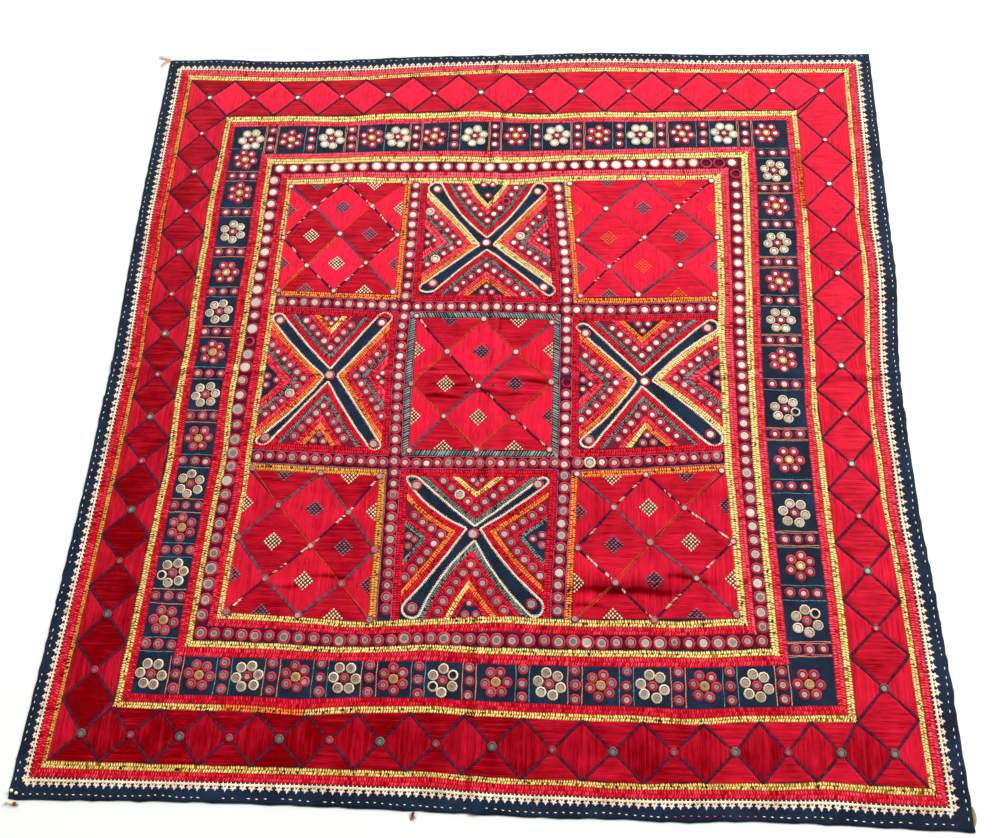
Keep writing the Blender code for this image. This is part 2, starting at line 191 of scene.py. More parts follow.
# In metres and degrees: the floor's half width and height, then the camera's place, and its tilt, yaw and
# roll.
FLOOR_REACH = 4.0
FLOOR_HEIGHT = -0.0004
CAMERA_PLACE = (0.0885, -0.57245, 1.1616)
CAMERA_ANGLES = (66.18, -8.67, 7.16)
BORDER_BANDS = (
    # name, thread, then its outer and inner inset and its tone on the back, right, front and left sides; the
    # tones are painted light, brightest on the back side and dimmest on the front and left.
    ("outer_rose", "rose",
     (502.6, 493.4, 0.68), (502.4, 493.6, 0.32), (502.6, 493.8, 0.12), (502.6, 491.6, 0.08)),
    ("outer_yellow", "yellow",
     (493.0, 485.0, 0.86), (493.0, 484.8, 0.86), (493.6, 485.8, 0.62), (491.2, 486.0, 0.5)),
    ("diamond_yellow", "yellow",
     (420.4, 410.2, 1.10), (421.6, 413.4, 0.88), (421.9, 414.2, 0.72), (420.4, 412.2, 0.72)),
    ("diamond_rose", "rose",
     (410.2, 402.4, 0.55), (413.2, 403.6, 0.36), (414.0, 404.2, -0.02), (412.2, 403.4, 0.0)),
    ("flower_rose", "rose",
     (357.0, 348.2, 0.68), (357.8, 348.2, 0.35), (358.4, 347.2, 0.17), (357.4, 346.4, 0.10)),
    ("flower_yellow", "yellow",
     (348.2, 338.6, 1.0), (348.2, 339.0, 0.98), (347.2, 339.6, 0.86), (346.2, 338.2, 0.72)),
    ("mirror_rose", "rose",
     (321.6, 312.0, 0.78), (322.6, 313.0, 0.46), (321.6, 312.2, 0.14), (321.4, 311.2, 0.12)),
    ("mirror_yellow", "yellow",
     (312.0, 302.0, 0.98), (313.0, 303.4, 0.92), (312.2, 304.0, 0.76), (311.2, 303.2, 0.70)),
)

# Bands sewn partly in another thread: where along the side the thread changes, then each part's thread and
# tone.
MENDED = {
    ("outer_yellow", "left"): ((40.0, 345.0), ("gold", "orange", "gold"), (0.6, 0.6, 0.85)),
    ("diamond_yellow", "right"): ((257.0, 357.0), ("yellow", "orange", "yellow"), (0.88, 0.25, 0.88)),
    ("diamond_yellow", "front"): ((-300.0, -205.0), ("yellow", "orange", "yellow"), (0.72, 0.75, 0.72)),
}
# How far apart a side's bands other than the rose ones show bare spots, in mm.
BARE_GAP = {"back": 26.0, "right": 15.0, "front": 8.0, "left": 10.0}
# Mirrors at the joints of the diamond border: a few joints of each side's run, with their real places along
# it.
DIAMOND_MIDDLE = 453.5
JOINT_RUNS = {
    "back": ((0, -451.0), (3, -250.0), (6, -43.0), (8, 104.5), (13, 452.0)),
    "front": ((0, -457.5), (6, -115.0), (8, 10.5), (12, 277.0), (15, 448.0)),
    "left": ((0, 456.0), (3, 250.0), (5, 114.0), (9, -130.0), (14, -456.0)),
    "right": ((0, 460.0), (1, 372.0), (3, 221.0), (6, 15.0), (13, -452.5)),
}

# How bright the diamond border's floss is painted: diamonds at the left or front end and at the other end
# of each side, then its triangles there. Diamonds and triangles, whose floss runs different ways, and
# the four sides differ by painted sheen and shade.
DIAMOND_PAINTED_LIGHT = {
    "back": (0.86, 0.92, 0.26, 0.70),
    "right": (0.38, 0.80, 0.46, 0.78),
    "front": (0.08, 0.32, -0.04, 0.42),
    "left": (-0.06, 0.38, 0.26, 0.52),
}

# The flower band: places of a few items of each side's run. An even item is a flower of mirrors, c for
# cream petals and r for raspberry ones, and an odd item is a bar of three mirrors between two pairs of
# lines.
FLOWER_RUNS = {
    # side: (knots, kinds of flower, threads of the bars)
    "back": (((0, -377.0), (6, -199.0), (8, -160.5), (10, -108.0), (26, 368.0)), "crcrcrcrcrcrcr",
             "otosototototo"),
    "left": (((0, 380.0), (2, 340.5), (4, 282.0), (8, 149.5), (18, -159.5), (26, -388.0)), "crrcrcrcrcrcrc",
             "sototototototot"),
    "right": (((0, 380.0), (8, 139.5), (12, 22.5), (18, -183.0), (24, -377.0)), "rcrcrcrcrcrcr",
              "totototototot"),
    "front": (((0, -389.0), (12, -49.0), (16, 72.5), (26, 363.0)), "crcrcrcrcrcrcr",
              "otototototototo"),
}
FLOWER_MIDDLE = 380.5
# Petals whose glass has gone.
LOST_PETALS = ((378.0, -303.0), (-55.0, -392.0), (-38.0, -388.0), (-392.0, -277.5), (372.0, -52.0))

# Runs of mirrors round the field and along the strips between its patches.
MIRROR_MIDDLE = 330.5
BORDER_RUNS = {
    # side: number and real place of a few mirrors, radius of glass and ring, mirrors whose glass has gone
    "back": (((0, -328), (23, 137), (30, 263), (33, 317)), 6.1, 8.8, (31, 32)),
    "left": (((0, 303), (12, 62), (14, 23), (16, -15), (20, -99), (23, -154), (32, -324)), 5.0, 8.1, (13,)),
    "right": (((0, 314), (12, 95), (19, -17), (28, -166), (37, -321)), 4.8, 7.9, (0,)),
    "front": (((0, -338), (5, -256), (8, -203), (20, -20), (22, 11), (25, 66), (40, 314)), 4.0, 7.4, ()),
}
STRIP_RUNS = (
    # upright or level, its place on the chart, then the same columns
    ("upright", -122.0, ((0, -311), (9, -184), (28, 97), (40, 294)), 4.0, 7.7, ()),
    ("upright", 88.0, ((0, -308), (14, -95), (20, 4), (39, 289)), 4.5, 7.8, (19,)),
    ("level", 100.0, ((0, -298), (13, -97), (25, 86), (38, 279)), 4.0, 7.6, ()),
    ("level", -118.0, ((0, -300), (8, -182), (14, -98), (28, 88), (33, 163), (41, 274)), 3.5, 7.4, ()),
)

# The five lattice squares: real places of their mirrors, in the order back left, back right, front left,
# front right corner, back, left, right, front middle, the centre, and the four quarter points in the
# corners' order.
SQUARE_PLACES = {
    "back_left": ((-307.5, 292.5), (-144.5, 299.5), (-304, 121), (-147, 120), (-229.5, 302),
                  (-307.5, 206), (-148, 211), (-228, 121), (-229, 213), (-269, 257), (-187.5, 259),
                  (-269.5, 161), (-188, 165.5)),
    "back_right": ((89.5, 297.5), (287, 302), (105.5, 115), (282.5, 119), (194, 305), (102.5, 203),
                   (290, 208), (182, 118), (192, 208), (140, 255), (239, 258), (144, 161), (239, 164)),
    "centre": ((-112, 83), (68, 74.5), (-108, -110), (68, -106), (-22, 79), (-112.5, -17.5), (69, -13),
               (-23, -107.5), (-25, -19), (-68, 30), (22, 30.5), (-67, -62.5), (21.5, -63)),
    "front_left": ((-304, -137), (-142.5, -145), (-311, -319), (-139, -324), (-217, -142), (-310, -227.5),
                   (-140.5, -239.5), (-224.5, -321), (-219, -236), (-265, -185.5), (-177, -193),
                   (-269.5, -278), (-177, -282)),
    "front_right": ((102.5, -137.5), (279, -130), (101, -317), (287, -307.5), (187, -137), (104, -232),
                    (288, -220), (192.5, -316), (190, -223), (147.5, -180), (232, -179), (148, -274),
                    (243, -265.5)),
}
# Threads of a square: its falling line, its rising line and its inner diamond, then its dots in the back,
# left, right and front cell, then in the eight half cells round the edge.
SQUARE_THREADS = {
    "back_left": ("grey", "orange", "dashed", "gcgc", "gccgcggg"),
    "back_right": ("orange", "dashed", "grey", "gogo", "googoggo"),
    "centre": ("dashed", "grey", "brown", "gcgc", "gccgcccc"),
    "front_left": ("orange", "dashed", "grey", "gcgc", "gccgcggc"),
    "front_right": ("grey", "brown", "dashed", "cgcg", "cggcgccg"),
}
# Dots: thread, thread and tone of the base, half a stitch across and ahead, and its width.
DOTS = {
    "c": ("cream", "rust", -0.1, (0.3, 1.2), 2.5),
    "g": ("slate", "wine", 0.15, (1.45, 0.25), 2.3),
    "o": ("brown", None, 0.0, (1.45, 0.25), 2.3),
}
# How bright a square's floss is painted where it runs upright and where it runs level, from 0 to 1: the
# difference is painted sheen and shade.
SQUARE_PAINTED_LIGHT = {
    "back_left": (0.90, 0.38),
    "back_right": (0.78, 0.62),
    "centre": (0.74, 0.42),
    "front_left": (0.56, 0.34),
    "front_right": (0.50, 0.44),
}
# A dashed line's usual runs of pale stitches and of dark ones between them.
SQUARE_DASHES = {
    "back_left": (5, 4),
    "back_right": (3, 11),
    "centre": (6, 16),
    "front_left": (6, 9),
    "front_right": (6, 8),
}
SQUARE_CHARTS = {
    # the inside of each square's frame on the chart: left, right, front, back
    "back_left": (-304.0, -138.0, 118.0, 304.0),
    "back_right": (106.0, 304.0, 118.0, 304.0),
    "centre": (-105.0, 71.0, -101.5, 83.5),
    "front_left": (-304.0, -140.0, -304.0, -136.0),
    "front_right": (106.0, 304.0, -304.0, -136.0),
}

# The stars: real places of the centre's mirror and of the mirrors at the back left, back right, front left
# and front right arms' ends.
STAR_PLACES = {
    "back": ((-24, 199), (-97, 288), (45, 284), (-94, 134), (56, 129)),
    "left": ((-220, -6), (-296, 75), (-158, 72.5), (-294.5, -95.5), (-154, -102)),
    "right": ((188, -10), (112.5, 59), (271, 68), (117, -92.5), (267.5, -82)),
    "front": ((-22, -217), (-96, -156), (55, -152), (-90.5, -309), (50, -301)),
}
# The cream edge round each quarter between two arms: its inner point, then the middle and end of its first
# leg, then of its second. Legs are taken clockwise, and bend a little.
STAR_EDGES = {
    "back": (
        ("back", (-23, 208), (-62, 248), (-89, 294), (11, 247), (38, 293)),
        ("right", (-14, 196), (15.5, 233), (56, 282), (24, 166), (68, 131)),
        ("front", (-22.5, 188), (15.5, 157), (58, 118.5), (-54, 160), (-87, 126)),
        ("left", (-33.5, 196), (-63, 171), (-108, 133), (-67, 237), (-107, 282)),
    ),
    "left": (
        ("back", (-220.5, 3.5), (-251, 35), (-290, 81), (-195.5, 39.5), (-164, 83)),
        ("right", (-210, -6.5), (-181, 31), (-147.5, 73.5), (-185.5, -42), (-146.5, -99.5)),
        ("front", (-221.5, -15), (-198.5, -52), (-160.5, -105), (-248.5, -49.5), (-288, -100.5)),
        ("left", (-227.5, -8), (-253, -43), (-303, -95), (-262, 24.5), (-304.5, 73.5)),
    ),
    "right": (
        ("back", (185, -1.5), (152.5, 33), (117.5, 70), (228.5, 41.5), (269.5, 78)),
        ("right", (198, -8.5), (228.5, 24), (280.5, 63.5), (237, -39), (278.5, -78)),
        ("front", (184.5, -17), (222, -54), (263, -93.5), (156.5, -54), (123, -98.5)),
        ("left", (177, -9.5), (150, -47.5), (109, -89), (143.5, 24), (103.5, 63)),
    ),
    "front": (
        ("back", (-20.5, -207), (-55, -179.5), (-90, -149), (12.5, -181), (56, -145)),
        ("right", (-14, -210.5), (23.5, -185), (65.5, -152.5), (14.5, -249), (60, -295)),
        ("front", (-20, -225.5), (6, -266.5), (46, -312), (-48.5, -258), (-80, -314.5)),
        ("left", (-31, -210), (-53, -243), (-99.5, -303.5), (-70, -188.5), (-106.5, -152.5)),
    ),
}
# A mirror of the back star that has gone, and mirrors of its rows with cream rings.
LOST_STAR = (-4.0, 268.0)
CREAM_RINGS = ((-42.0, 262.0), (-105.0, 247.0), (18.0, 203.0), (27.0, 213.0))
STAR_CHARTS = {
    "back": (-104.0, 70.0, 118.0, 304.0),
    "left": (-304.0, -140.0, -100.0, 82.0),
    "right": (106.0, 304.0, -100.0, 82.0),
    "front": (-104.0, 70.0, -304.0, -136.0),
}
# Thread of the bright chevron in the back, right, front and left quarter of each star, y yellow and o
# orange: the first letter is its clockwise leg's and the second its other leg's.
CHEVRON_THREADS = {
    "back": ("yy", "oy", "oo", "oy"),
    "left": ("oy", "oo", "oo", "oo"),
    "right": ("oo", "yy", "oy", "oo"),
    "front": ("yy", "oo", "oy", "oo"),
}
# Arms, numbered as above, on either side of each quarter.
ARM_PAIRS = {"back": (0, 1), "right": (1, 3), "front": (3, 2), "left": (2, 0)}
# How bright each star's rose bands are painted: brightest in the back star and dimmest in the front one,
# as painted light.
STAR_ROSE = {"back": 0.5, "right": 0.38, "left": 0.28, "front": 0.1}
# Bands of the quarters behind and in front of the centre, and of those beside it, by their distance in from
# the cream edge. The rows of mirrors stand on bare navy ground. The front star's bands come in another
# order.
STAR_BANDS = {
    "level": (("scarlet", 1.4, 8.6), ("grey_green", 8.6, 13.4), ("mirrors", 13.4, 26.4),
              ("rose", 26.4, 32.4), ("bright", 32.4, 38.8)),
    "upright": (("bright", 1.4, 7.8), ("rose", 7.8, 14.4), ("mirrors", 14.4, 25.6),
                ("grey_green", 25.6, 30.8), ("rose", 30.8, 41.6)),
    "front_level": (("grey_green", 1.4, 7.0), ("scarlet", 7.0, 12.0), ("mirrors", 12.0, 23.4),
                    ("scarlet", 23.4, 28.6), ("bright", 28.6, 34.8), ("scarlet", 34.8, 40.4)),
    "front_upright": (("scarlet", 1.4, 8.0), ("bright", 8.0, 14.0), ("mirrors", 14.0, 27.4),
                      ("scarlet", 27.4, 32.4), ("grey_green", 32.4, 37.6)),
}

# Thread of a patch's left, right, front and back frame, or none where the border closes it.
FRAME_THREADS = {
    "back_left": (None, "orange", "orange", None),
    "back_right": ("split", None, "orange", None),
    "front_left": (None, "gold", None, "gold"),
    "front_right": ("orange", None, None, "orange"),
    "back": ("scarlet", "scarlet", "scarlet", None),
    "left": (None, "scarlet", "scarlet", "scarlet"),
    "right": ("scarlet", None, "scarlet", "scarlet"),
    "front": ("scarlet", "scarlet", None, "scarlet"),
    "centre": ("sage", "sage", "sage", "sage"),
}

DYES = {
    # thread: deep and bright sRGB shades of its dye, then its slot
    "crimson": ("#7c0006", "#fb2442", "crimson_silk"),
    "scarlet": ("#b00a1c", "#f62a44", "crimson_silk"),
    "rose": ("#dc0c28", "#ff6c7c", "rose_silk"),
    "yellow": ("#bc760c", "#fff19a", "yellow_silk"),
    "orange": ("#c83e08", "#ff9c4a", "orange_silk"),
    "teal": ("#1d3a38", "#94c0b0", "teal_silk"),
    "grey_green": ("#272f2e", "#8c9890", "teal_silk"),
    "plum": ("#280c1c", "#66283f", "plum_thread"),
    "grey": ("#40242f", "#846070", "plum_thread"),
    "slate": ("#3a202c", "#947480", "plum_thread"),
    "coral": ("#b0502c", "#f6ac84", "orange_silk"),
    "brown": ("#98260a", "#f06a2c", "orange_silk"),
    "cream": ("#b8935c", "#fff2d0", "cream_thread"),
    "blush": ("#b8806a", "#ffe6d6", "cream_thread"),
    "sage": ("#3a3c3c", "#aab8ac", "teal_silk"),
    "mauve": ("#902440", "#ec7890", "pink_thread"),
    "peach": ("#9c4038", "#ffd4bc", "pink_thread"),
    "wine": ("#340a22", "#882034", "plum_thread"),
    "raspberry": ("#840a20", "#e04656", "rose_silk"),
    "gold": ("#b8701f", "#f0b050", "orange_silk"),
    "dark_grey": ("#3a3a36", "#77796f", "plum_thread"),
    "pink": ("#d49a90", "#f9d2ca", "pink_thread"),
    "rust": ("#6a2412", "#a8512e", "rust_thread"),
}
# By thread: roughness, share of the gaps where strands have parted, strength of the specks between a band's
# stitches, and how much painted shade darkens the feet of a band's stitches, with a painted highlight on
# their crests.
ROUGH = {"crimson": 0.36, "cream": 0.6, "plum": 0.5, "grey": 0.5}
PARTED = {"crimson": 0.5}
SPECKS = {"rose": 0.5, "scarlet": 0.6, "yellow": 0.8, "orange": 0.7, "grey_green": 0.75}
PAINTED_FOOT_SHADE = {"rose": 0.5, "scarlet": 0.6, "grey_green": 0.6}


def linear(hex_code):
    """An sRGB hex colour as linear RGBA."""
    channels = np.array([int(hex_code[i:i + 2], 16) for i in (1, 3, 5)]) / 255
    channels = np.where(channels <= 0.04045, channels / 12.92, ((channels + 0.055) / 1.055) ** 2.4)
    return (*channels.tolist(), 1.0)


def dye_property(thread, shade, description):
    """A colour property whose default is the thread's deep (0) or bright (1) shade."""
    return bpy.props.FloatVectorProperty(
        name=f"{thread.capitalize()}, {('deep', 'bright')[shade]}", description=description, subtype="COLOR",
        size=4, min=0.0, max=1.0, default=linear(DYES[thread][shade]))


def length_property(name, description, default):
    """A length property in millimetres' worth of metres."""
    return bpy.props.FloatProperty(
        name=name, description=description, default=default * MM, min=0.0, subtype="DISTANCE", unit="LENGTH",
        precision=5)


class HangingSizes(bpy.types.PropertyGroup):
    """Sizes of the stitches and mirrors."""

    stitch_pitch: length_property("Band stitch pitch", "Distance between the stitches of a band", 2.9)
    stitch_height: length_property("Band stitch height", "Height of a band's stitch above the cloth", 0.95)
    floss_width: length_property("Floss width", "Width of one strand of satin-stitch floss", 2.6)
    line_width: length_property("Couched line width", "Width of the plum lines between the diamonds", 4.2)
    spike_pitch: length_property("Spike pitch", "Distance between the cream line's spikes", 9.2)
    running_pitch: length_property("Running stitch pitch", "Distance between the hem's running stitches", 8.5)
    glass_thickness: length_property("Mirror height", "Height of a mirror's glass above the cloth", 1.0)
    ring_height: length_property("Ring height", "Height of a mirror's stitched ring above the cloth", 1.45)


class HangingDyes(bpy.types.PropertyGroup):
    """Shades of the main dyes."""

    # Deep and bright crimson are the ends of the satin's painted sheen and shade, by the floss's direction.
    crimson_deep: dye_property("crimson", 0, "Satin diamonds where the floss runs level")
    crimson_bright: dye_property("crimson", 1, "Satin diamonds where the floss runs upright")
    rose_deep: dye_property("rose", 0, "Shaded stitches of the rose bands")
    rose_bright: dye_property("rose", 1, "Bright stitches of the rose bands")
    yellow_deep: dye_property("yellow", 0, "Golden stitches of the yellow bands")
    yellow_bright: dye_property("yellow", 1, "Pale stitches of the yellow bands")
    orange_deep: dye_property("orange", 0, "Shaded stitches of the orange bands")
    orange_bright: dye_property("orange", 1, "Bright stitches of the orange bands")


def seam_table(seams):
    """Each seam's real place at every millimetre along it, on a cubic curve through its stations whose
    slopes are its neighbours' own."""
    along = np.clip(np.arange(-525.0, 526.0), STATIONS[0], STATIONS[-1])
    stations = np.array(STATIONS, float)
    left = np.clip(np.searchsorted(stations, along) - 1, 0, len(stations) - 2)
    width = stations[left + 1] - stations[left]
    t = (along - stations[left]) / width
    rows = []
    for chart, real in seams:
        values = np.array(real, float)
        slopes = np.gradient(values, stations)
        rows.append((1 + 2 * t) * (1 - t) ** 2 * values[left] + t * t * (3 - 2 * t) * values[left + 1]
                    + t * (1 - t) ** 2 * width * slopes[left] + t * t * (t - 1) * width * slopes[left + 1])
    return np.array([row[0] for row in seams], float), np.array(rows)


UPRIGHT_TABLE = seam_table(UPRIGHT_SEAMS)
LEVEL_TABLE = seam_table(LEVEL_SEAMS)


def across_seams(table, across, along):
    """Real place of a chart point: each seam's place beside it, then a straight step between the two
    seams."""
    charts, real = table
    seam = np.clip(np.searchsorted(charts, across) - 1, 0, len(charts) - 2)
    share = (across - charts[seam]) / (charts[seam + 1] - charts[seam])
    step = np.clip(along, -EDGE, EDGE) + EDGE
    row = np.minimum(step.astype(int), real.shape[1] - 2)
    part = step - row
    low = real[seam, row] * (1 - part) + real[seam, row + 1] * part
    high = real[seam + 1, row] * (1 - part) + real[seam + 1, row + 1] * part
    return low + (high - low) * share


def lay(x, y):
    """Chart points to their real places, as an array whose last axis is (u, v): across the seams, and
    shifted by each pull's bell, 38 mm long and 19 mm deep."""
    x, y = np.broadcast_arrays(np.asarray(x, float), np.asarray(y, float))
    spots = np.stack([across_seams(UPRIGHT_TABLE, x, y), across_seams(LEVEL_TABLE, y, x)], -1)
    for side, pulls in PULLS.items():
        upright, sign = side in UPRIGHT_SIDES, SIGN[side]
        run, inset = (y, x * sign) if upright else (x, y * sign)
        for at, depth, shift in pulls:
            share = np.exp(-(((run - at) / 38) ** 2) - ((inset - depth) / 19) ** 2)
            spots[..., 0 if upright else 1] += sign * shift * share
    return spots


def on_side(side, along, inset):
    """Real places of chart points of one side: along is x on the back and front sides and y on the
    others."""
    inset = SIGN[side] * np.asarray(inset, float)
    return lay(inset, along) if side in UPRIGHT_SIDES else lay(along, inset)


def on_seam(side, real, inset):
    """Chart places along a side of real places along it, at the given inset."""
    chart = np.arange(-EDGE, EDGE + 1)
    return np.interp(real, on_side(side, chart, inset)[:, int(side in UPRIGHT_SIDES)], chart)


CREASE_STEPS = np.linspace(-EDGE, EDGE, 43)
UPRIGHT_CREASE_LINE = lay(UPRIGHT_CREASE, CREASE_STEPS)
LEVEL_CREASE_LINE = lay(CREASE_STEPS, LEVEL_CREASE)


def ridge(distance):
    """A soft fold: one over its middle, falling to nothing at its reach by half a cosine wave."""
    return 0.5 * (1 + np.cos(math.pi * np.clip(np.abs(distance) / CREASE_REACH, 0, 1)))


def pucker(u, v, row):
    """How far points lie across a pucker from its wavering crest, the pucker's reach there and a cosine
    window along it."""
    middle_u, middle_v, half, behind, before, rise, turn = row
    cos, sin = math.cos(math.radians(turn)), math.sin(math.radians(turn))
    along = (u - middle_u) * cos + (v - middle_v) * sin
    across = (v - middle_v) * cos - (u - middle_u) * sin + 1.2 * np.sin(along / 9.0 + middle_u)
    return across, np.where(across > 0, behind, before), np.cos(0.5 * math.pi * np.clip(along / half, -1, 1))


def ground(u, v):
    """Height that the stitches stand on: level, plus the two storage creases, plus the puckers. A pucker is
    a bell across its length, gentler behind its crest than before it, times its window along it."""
    u, v = np.asarray(u, float), np.asarray(v, float)
    upright = ridge(u - np.interp(v, UPRIGHT_CREASE_LINE[:, 1], UPRIGHT_CREASE_LINE[:, 0]))
    level = ridge(v - np.interp(u, LEVEL_CREASE_LINE[:, 0], LEVEL_CREASE_LINE[:, 1]))
    height = CLOTH_TOP + CREASE_HEIGHT * np.maximum(upright, level) * (0.75 + 0.25 * np.cos((u + v) / 90))
    for row in PUCKERS:
        across, reach, window = pucker(u, v, row)
        height = height + row[5] * window * np.exp(-((across / reach) ** 2))
    return height


def crevice(u, v):
    """How deep in the crevice before a pucker a point lies, from nought to about one: a bell beyond the
    pucker's foot times its window. Floss there is darkened by this much, as painted shade."""
    deep = np.zeros(np.broadcast(u, v).shape)
    for row in PUCKERS:
        if row[5] > 0.7:
            across, reach, window = pucker(u, v, row)
            foot = (across + 1.45 * row[4]) / (0.33 * row[4] + 1.0)
            deep = deep + min(0.8, 0.2 + row[5] / 4) * window * np.exp(-(foot ** 2))
    return deep


def place(u, v, height):
    """Real places and heights in millimetres, as points of the frame in metres."""
    return np.stack([(u - BOX_CENTRE_U) * MM, (v - BOX_CENTRE_V) * MM, height * MM], -1)


def wander(along, amount, reach, rng):
    """A hand's slow waver: three sine waves of about the given length with seeded phases."""
    phases = rng.uniform(0, 2 * math.pi, 3)
    waves = [np.sin(2 * math.pi * along / (reach * scale) + phase)
             for scale, phase in zip((1.0, 0.61, 0.37), phases)]
    return amount * (0.5 * waves[0] + 0.3 * waves[1] + 0.2 * waves[2])


def travel_of(line):
    """How far along a polyline each of its points lies."""
    return np.concatenate([[0], np.cumsum(np.hypot(*np.diff(line, axis=0).T))])


def spots_at(line, travel, where):
    """Spots along a polyline whose own points lie at the given travel."""
    return np.stack([np.interp(where, travel, line[:, axis]) for axis in (0, 1)], -1)


def unit(ways):
    """Vectors of the plane, scaled to a length of one."""
    ways = np.asarray(ways, float)
    return ways / np.maximum(np.hypot(ways[..., 0], ways[..., 1]), 1e-6)[..., None]


def right_of(ways):
    """Vectors of the plane, turned to the right by a quarter turn."""
    return np.stack([ways[..., 1], -ways[..., 0]], -1)


def cross(a, b):
    """Cross product of vectors of the plane."""
    return a[..., 0] * b[..., 1] - a[..., 1] * b[..., 0]


SEWN = []


class Pile:
    """Points, polygons, shades and places on the thread of everything that goes into one mesh."""

    def __init__(self, thread=None):
        self.thread = thread
        self.points, self.tones, self.threads, self.polygons = [], [], [], []
        self.count = 0

    def add(self, points, polygons, tone, thread):
        """Adds points (..., 3) with their polygons, a shade each, and places (..., 2) in mm on the
        thread."""
        points = points.reshape(-1, 3)
        self.points.append(points)
        self.tones.append(np.broadcast_to(tone, thread.shape[:-1]).reshape(-1))
        self.threads.append(thread.reshape(-1, 2))
        self.polygons += [polygon + self.count for polygon in polygons]
        self.count += len(points)

    def make(self, name, finish=None, slot=None, smooth=True, replaces=()):
        """One mesh object with a "thread" UV map in millimetres and a "tone" for each point, riding on the
        frame. It has its thread's own finish unless another is given. The slot argument is not used."""
        points = np.concatenate(self.points).astype(np.float32)
        corners = np.concatenate([polygon.reshape(-1) for polygon in self.polygons]).astype(np.int32)
        sides = np.concatenate([np.full(len(polygon), polygon.shape[1]) for polygon in self.polygons])
        starts = np.concatenate([[0], np.cumsum(sides)[:-1]]).astype(np.int32)
        mesh = bpy.data.meshes.new(name)
        for items, field, values in ((mesh.vertices, "co", points), (mesh.loops, "vertex_index", corners),
                                     (mesh.polygons, "loop_start", starts)):
            items.add(len(values))
            items.foreach_set(field, values.ravel())
        mesh.polygons.foreach_set("use_smooth", np.full(len(sides), smooth))
        mesh.update(calc_edges=True)
        thread = mesh.uv_layers.new(name="thread")
        thread.data.foreach_set("uv", np.concatenate(self.threads)[corners].astype(np.float32).ravel())
        tone = mesh.attributes.new("tone", "FLOAT", "POINT")
        tone.data.foreach_set("value", np.concatenate(self.tones).astype(np.float32))
        if mesh.validate():
            raise RuntimeError(f"{name} had faces that Blender could not keep")
        mesh.materials.append(finish or finish_of(self.thread))
        piece = bpy.data.objects.new(name, mesh)
        bpy.context.scene.collection.objects.link(piece)
        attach(piece, "root")
        if replaces:
            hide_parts(*replaces)
        SEWN.append(piece)
        return piece


def sheets_of(count, rows, columns, closed=False):
    """Quads of many small grids, whose rows run forward and whose columns run to the right of that. A
    closed grid's last column joins its first."""
    last = columns if closed else columns - 1
    row, column = np.meshgrid(np.arange(rows - 1), np.arange(last), indexing="ij")
    beside = (column + 1) % columns
    quads = np.stack([row * columns + column, row * columns + beside,
                      (row + 1) * columns + beside, (row + 1) * columns + column], -1).reshape(-1, 4)
    return (quads[None] + (np.arange(count) * rows * columns)[:, None, None]).reshape(-1, 4)


def caps_of(count, rows, columns, last=True):
    """One polygon across the last row of each closed grid, or, turned over, across its first."""
    ring = np.arange(columns) if last else np.arange(columns)[::-1]
    start = (rows - 1) * columns if last else 0
    return ring[None] + start + (np.arange(count) * rows * columns)[:, None]


def tubes_of(count, rows, columns):
    """Faces of closed tubes whose rows run along them, with a cap at each end."""
    return [sheets_of(count, rows, columns, True)[:, ::-1], caps_of(count, rows, columns)[:, ::-1],
            caps_of(count, rows, columns, False)[:, ::-1]]


# Rows of a stitch from its start to its end: share of its length, rise of its crest and share of its full
# width. Long stitches keep their height further towards both ends.
LONG_STITCH = ((0.0, -0.2, 0.6), (0.14, 0.78, 0.95), (0.5, 1.0, 1.0), (0.86, 0.78, 0.95), (1.0, -0.2, 0.6))
SHORT_STITCH = ((0.0, -0.15, 0.66), (0.5, 1.0, 1.0), (1.0, -0.15, 0.66))
SPIKE_STITCH = ((0.0, -0.1, 0.85), (0.45, 1.0, 1.0), (1.0, -0.15, 0.3))


def stitches(pile, start, end, width, height, tone, lift=0.0, profile=SHORT_STITCH, painted_shade=0.35):
    """Loaf-shaped stitches: rows run from start to end, each with a left foot, a crest and a right foot.
    The crest rises to the stitch's height over its middle and dips below the cloth at both ends, where the
    thread goes in. Its feet, pressed against the next stitch, are painted darker, as painted shade, and its
    crest lighter, as a painted highlight, both by the amount that the last argument gives."""
    start, end = np.asarray(start, float), np.asarray(end, float)
    if not len(start):
        return
    run = end - start
    length = np.hypot(*run.T)
    right = right_of(run / length[:, None])
    width, height, tone, lift = (np.broadcast_to(x, len(start)) for x in (width, height, tone, lift))
    share, peak, plump = np.array(profile).T
    middle = start[:, None] + run[:, None] * share[None, :, None]
    reach = width[:, None, None] * plump[None, :, None] * np.array((-0.5, 0.0, 0.5))
    flat = middle[:, :, None] + right[:, None, None] * reach[..., None]
    crown = np.array((0.08, 1.0, 0.08))
    rise = peak[:, None] * crown[None] + np.minimum(peak, 0)[:, None] * (1 - crown[None])
    z = ground(flat[..., 0], flat[..., 1]) + lift[:, None, None] + height[:, None, None] * rise[None]
    seed = (start[:, 0] * 7.3 + start[:, 1] * 3.1)[:, None, None]
    thread = np.stack(np.broadcast_arrays(length[:, None, None] * share[None, :, None] + seed,
                                          reach + seed * 0.37), -1)
    # Painted shade at the feet and a painted highlight on the crest.
    shade = np.broadcast_to(tone[:, None, None] + painted_shade * np.array((-1.0, 0.4, -1.0)), z.shape)
    pile.add(place(flat[..., 0], flat[..., 1], z), [sheets_of(len(start), len(share), 3)], shade, thread)


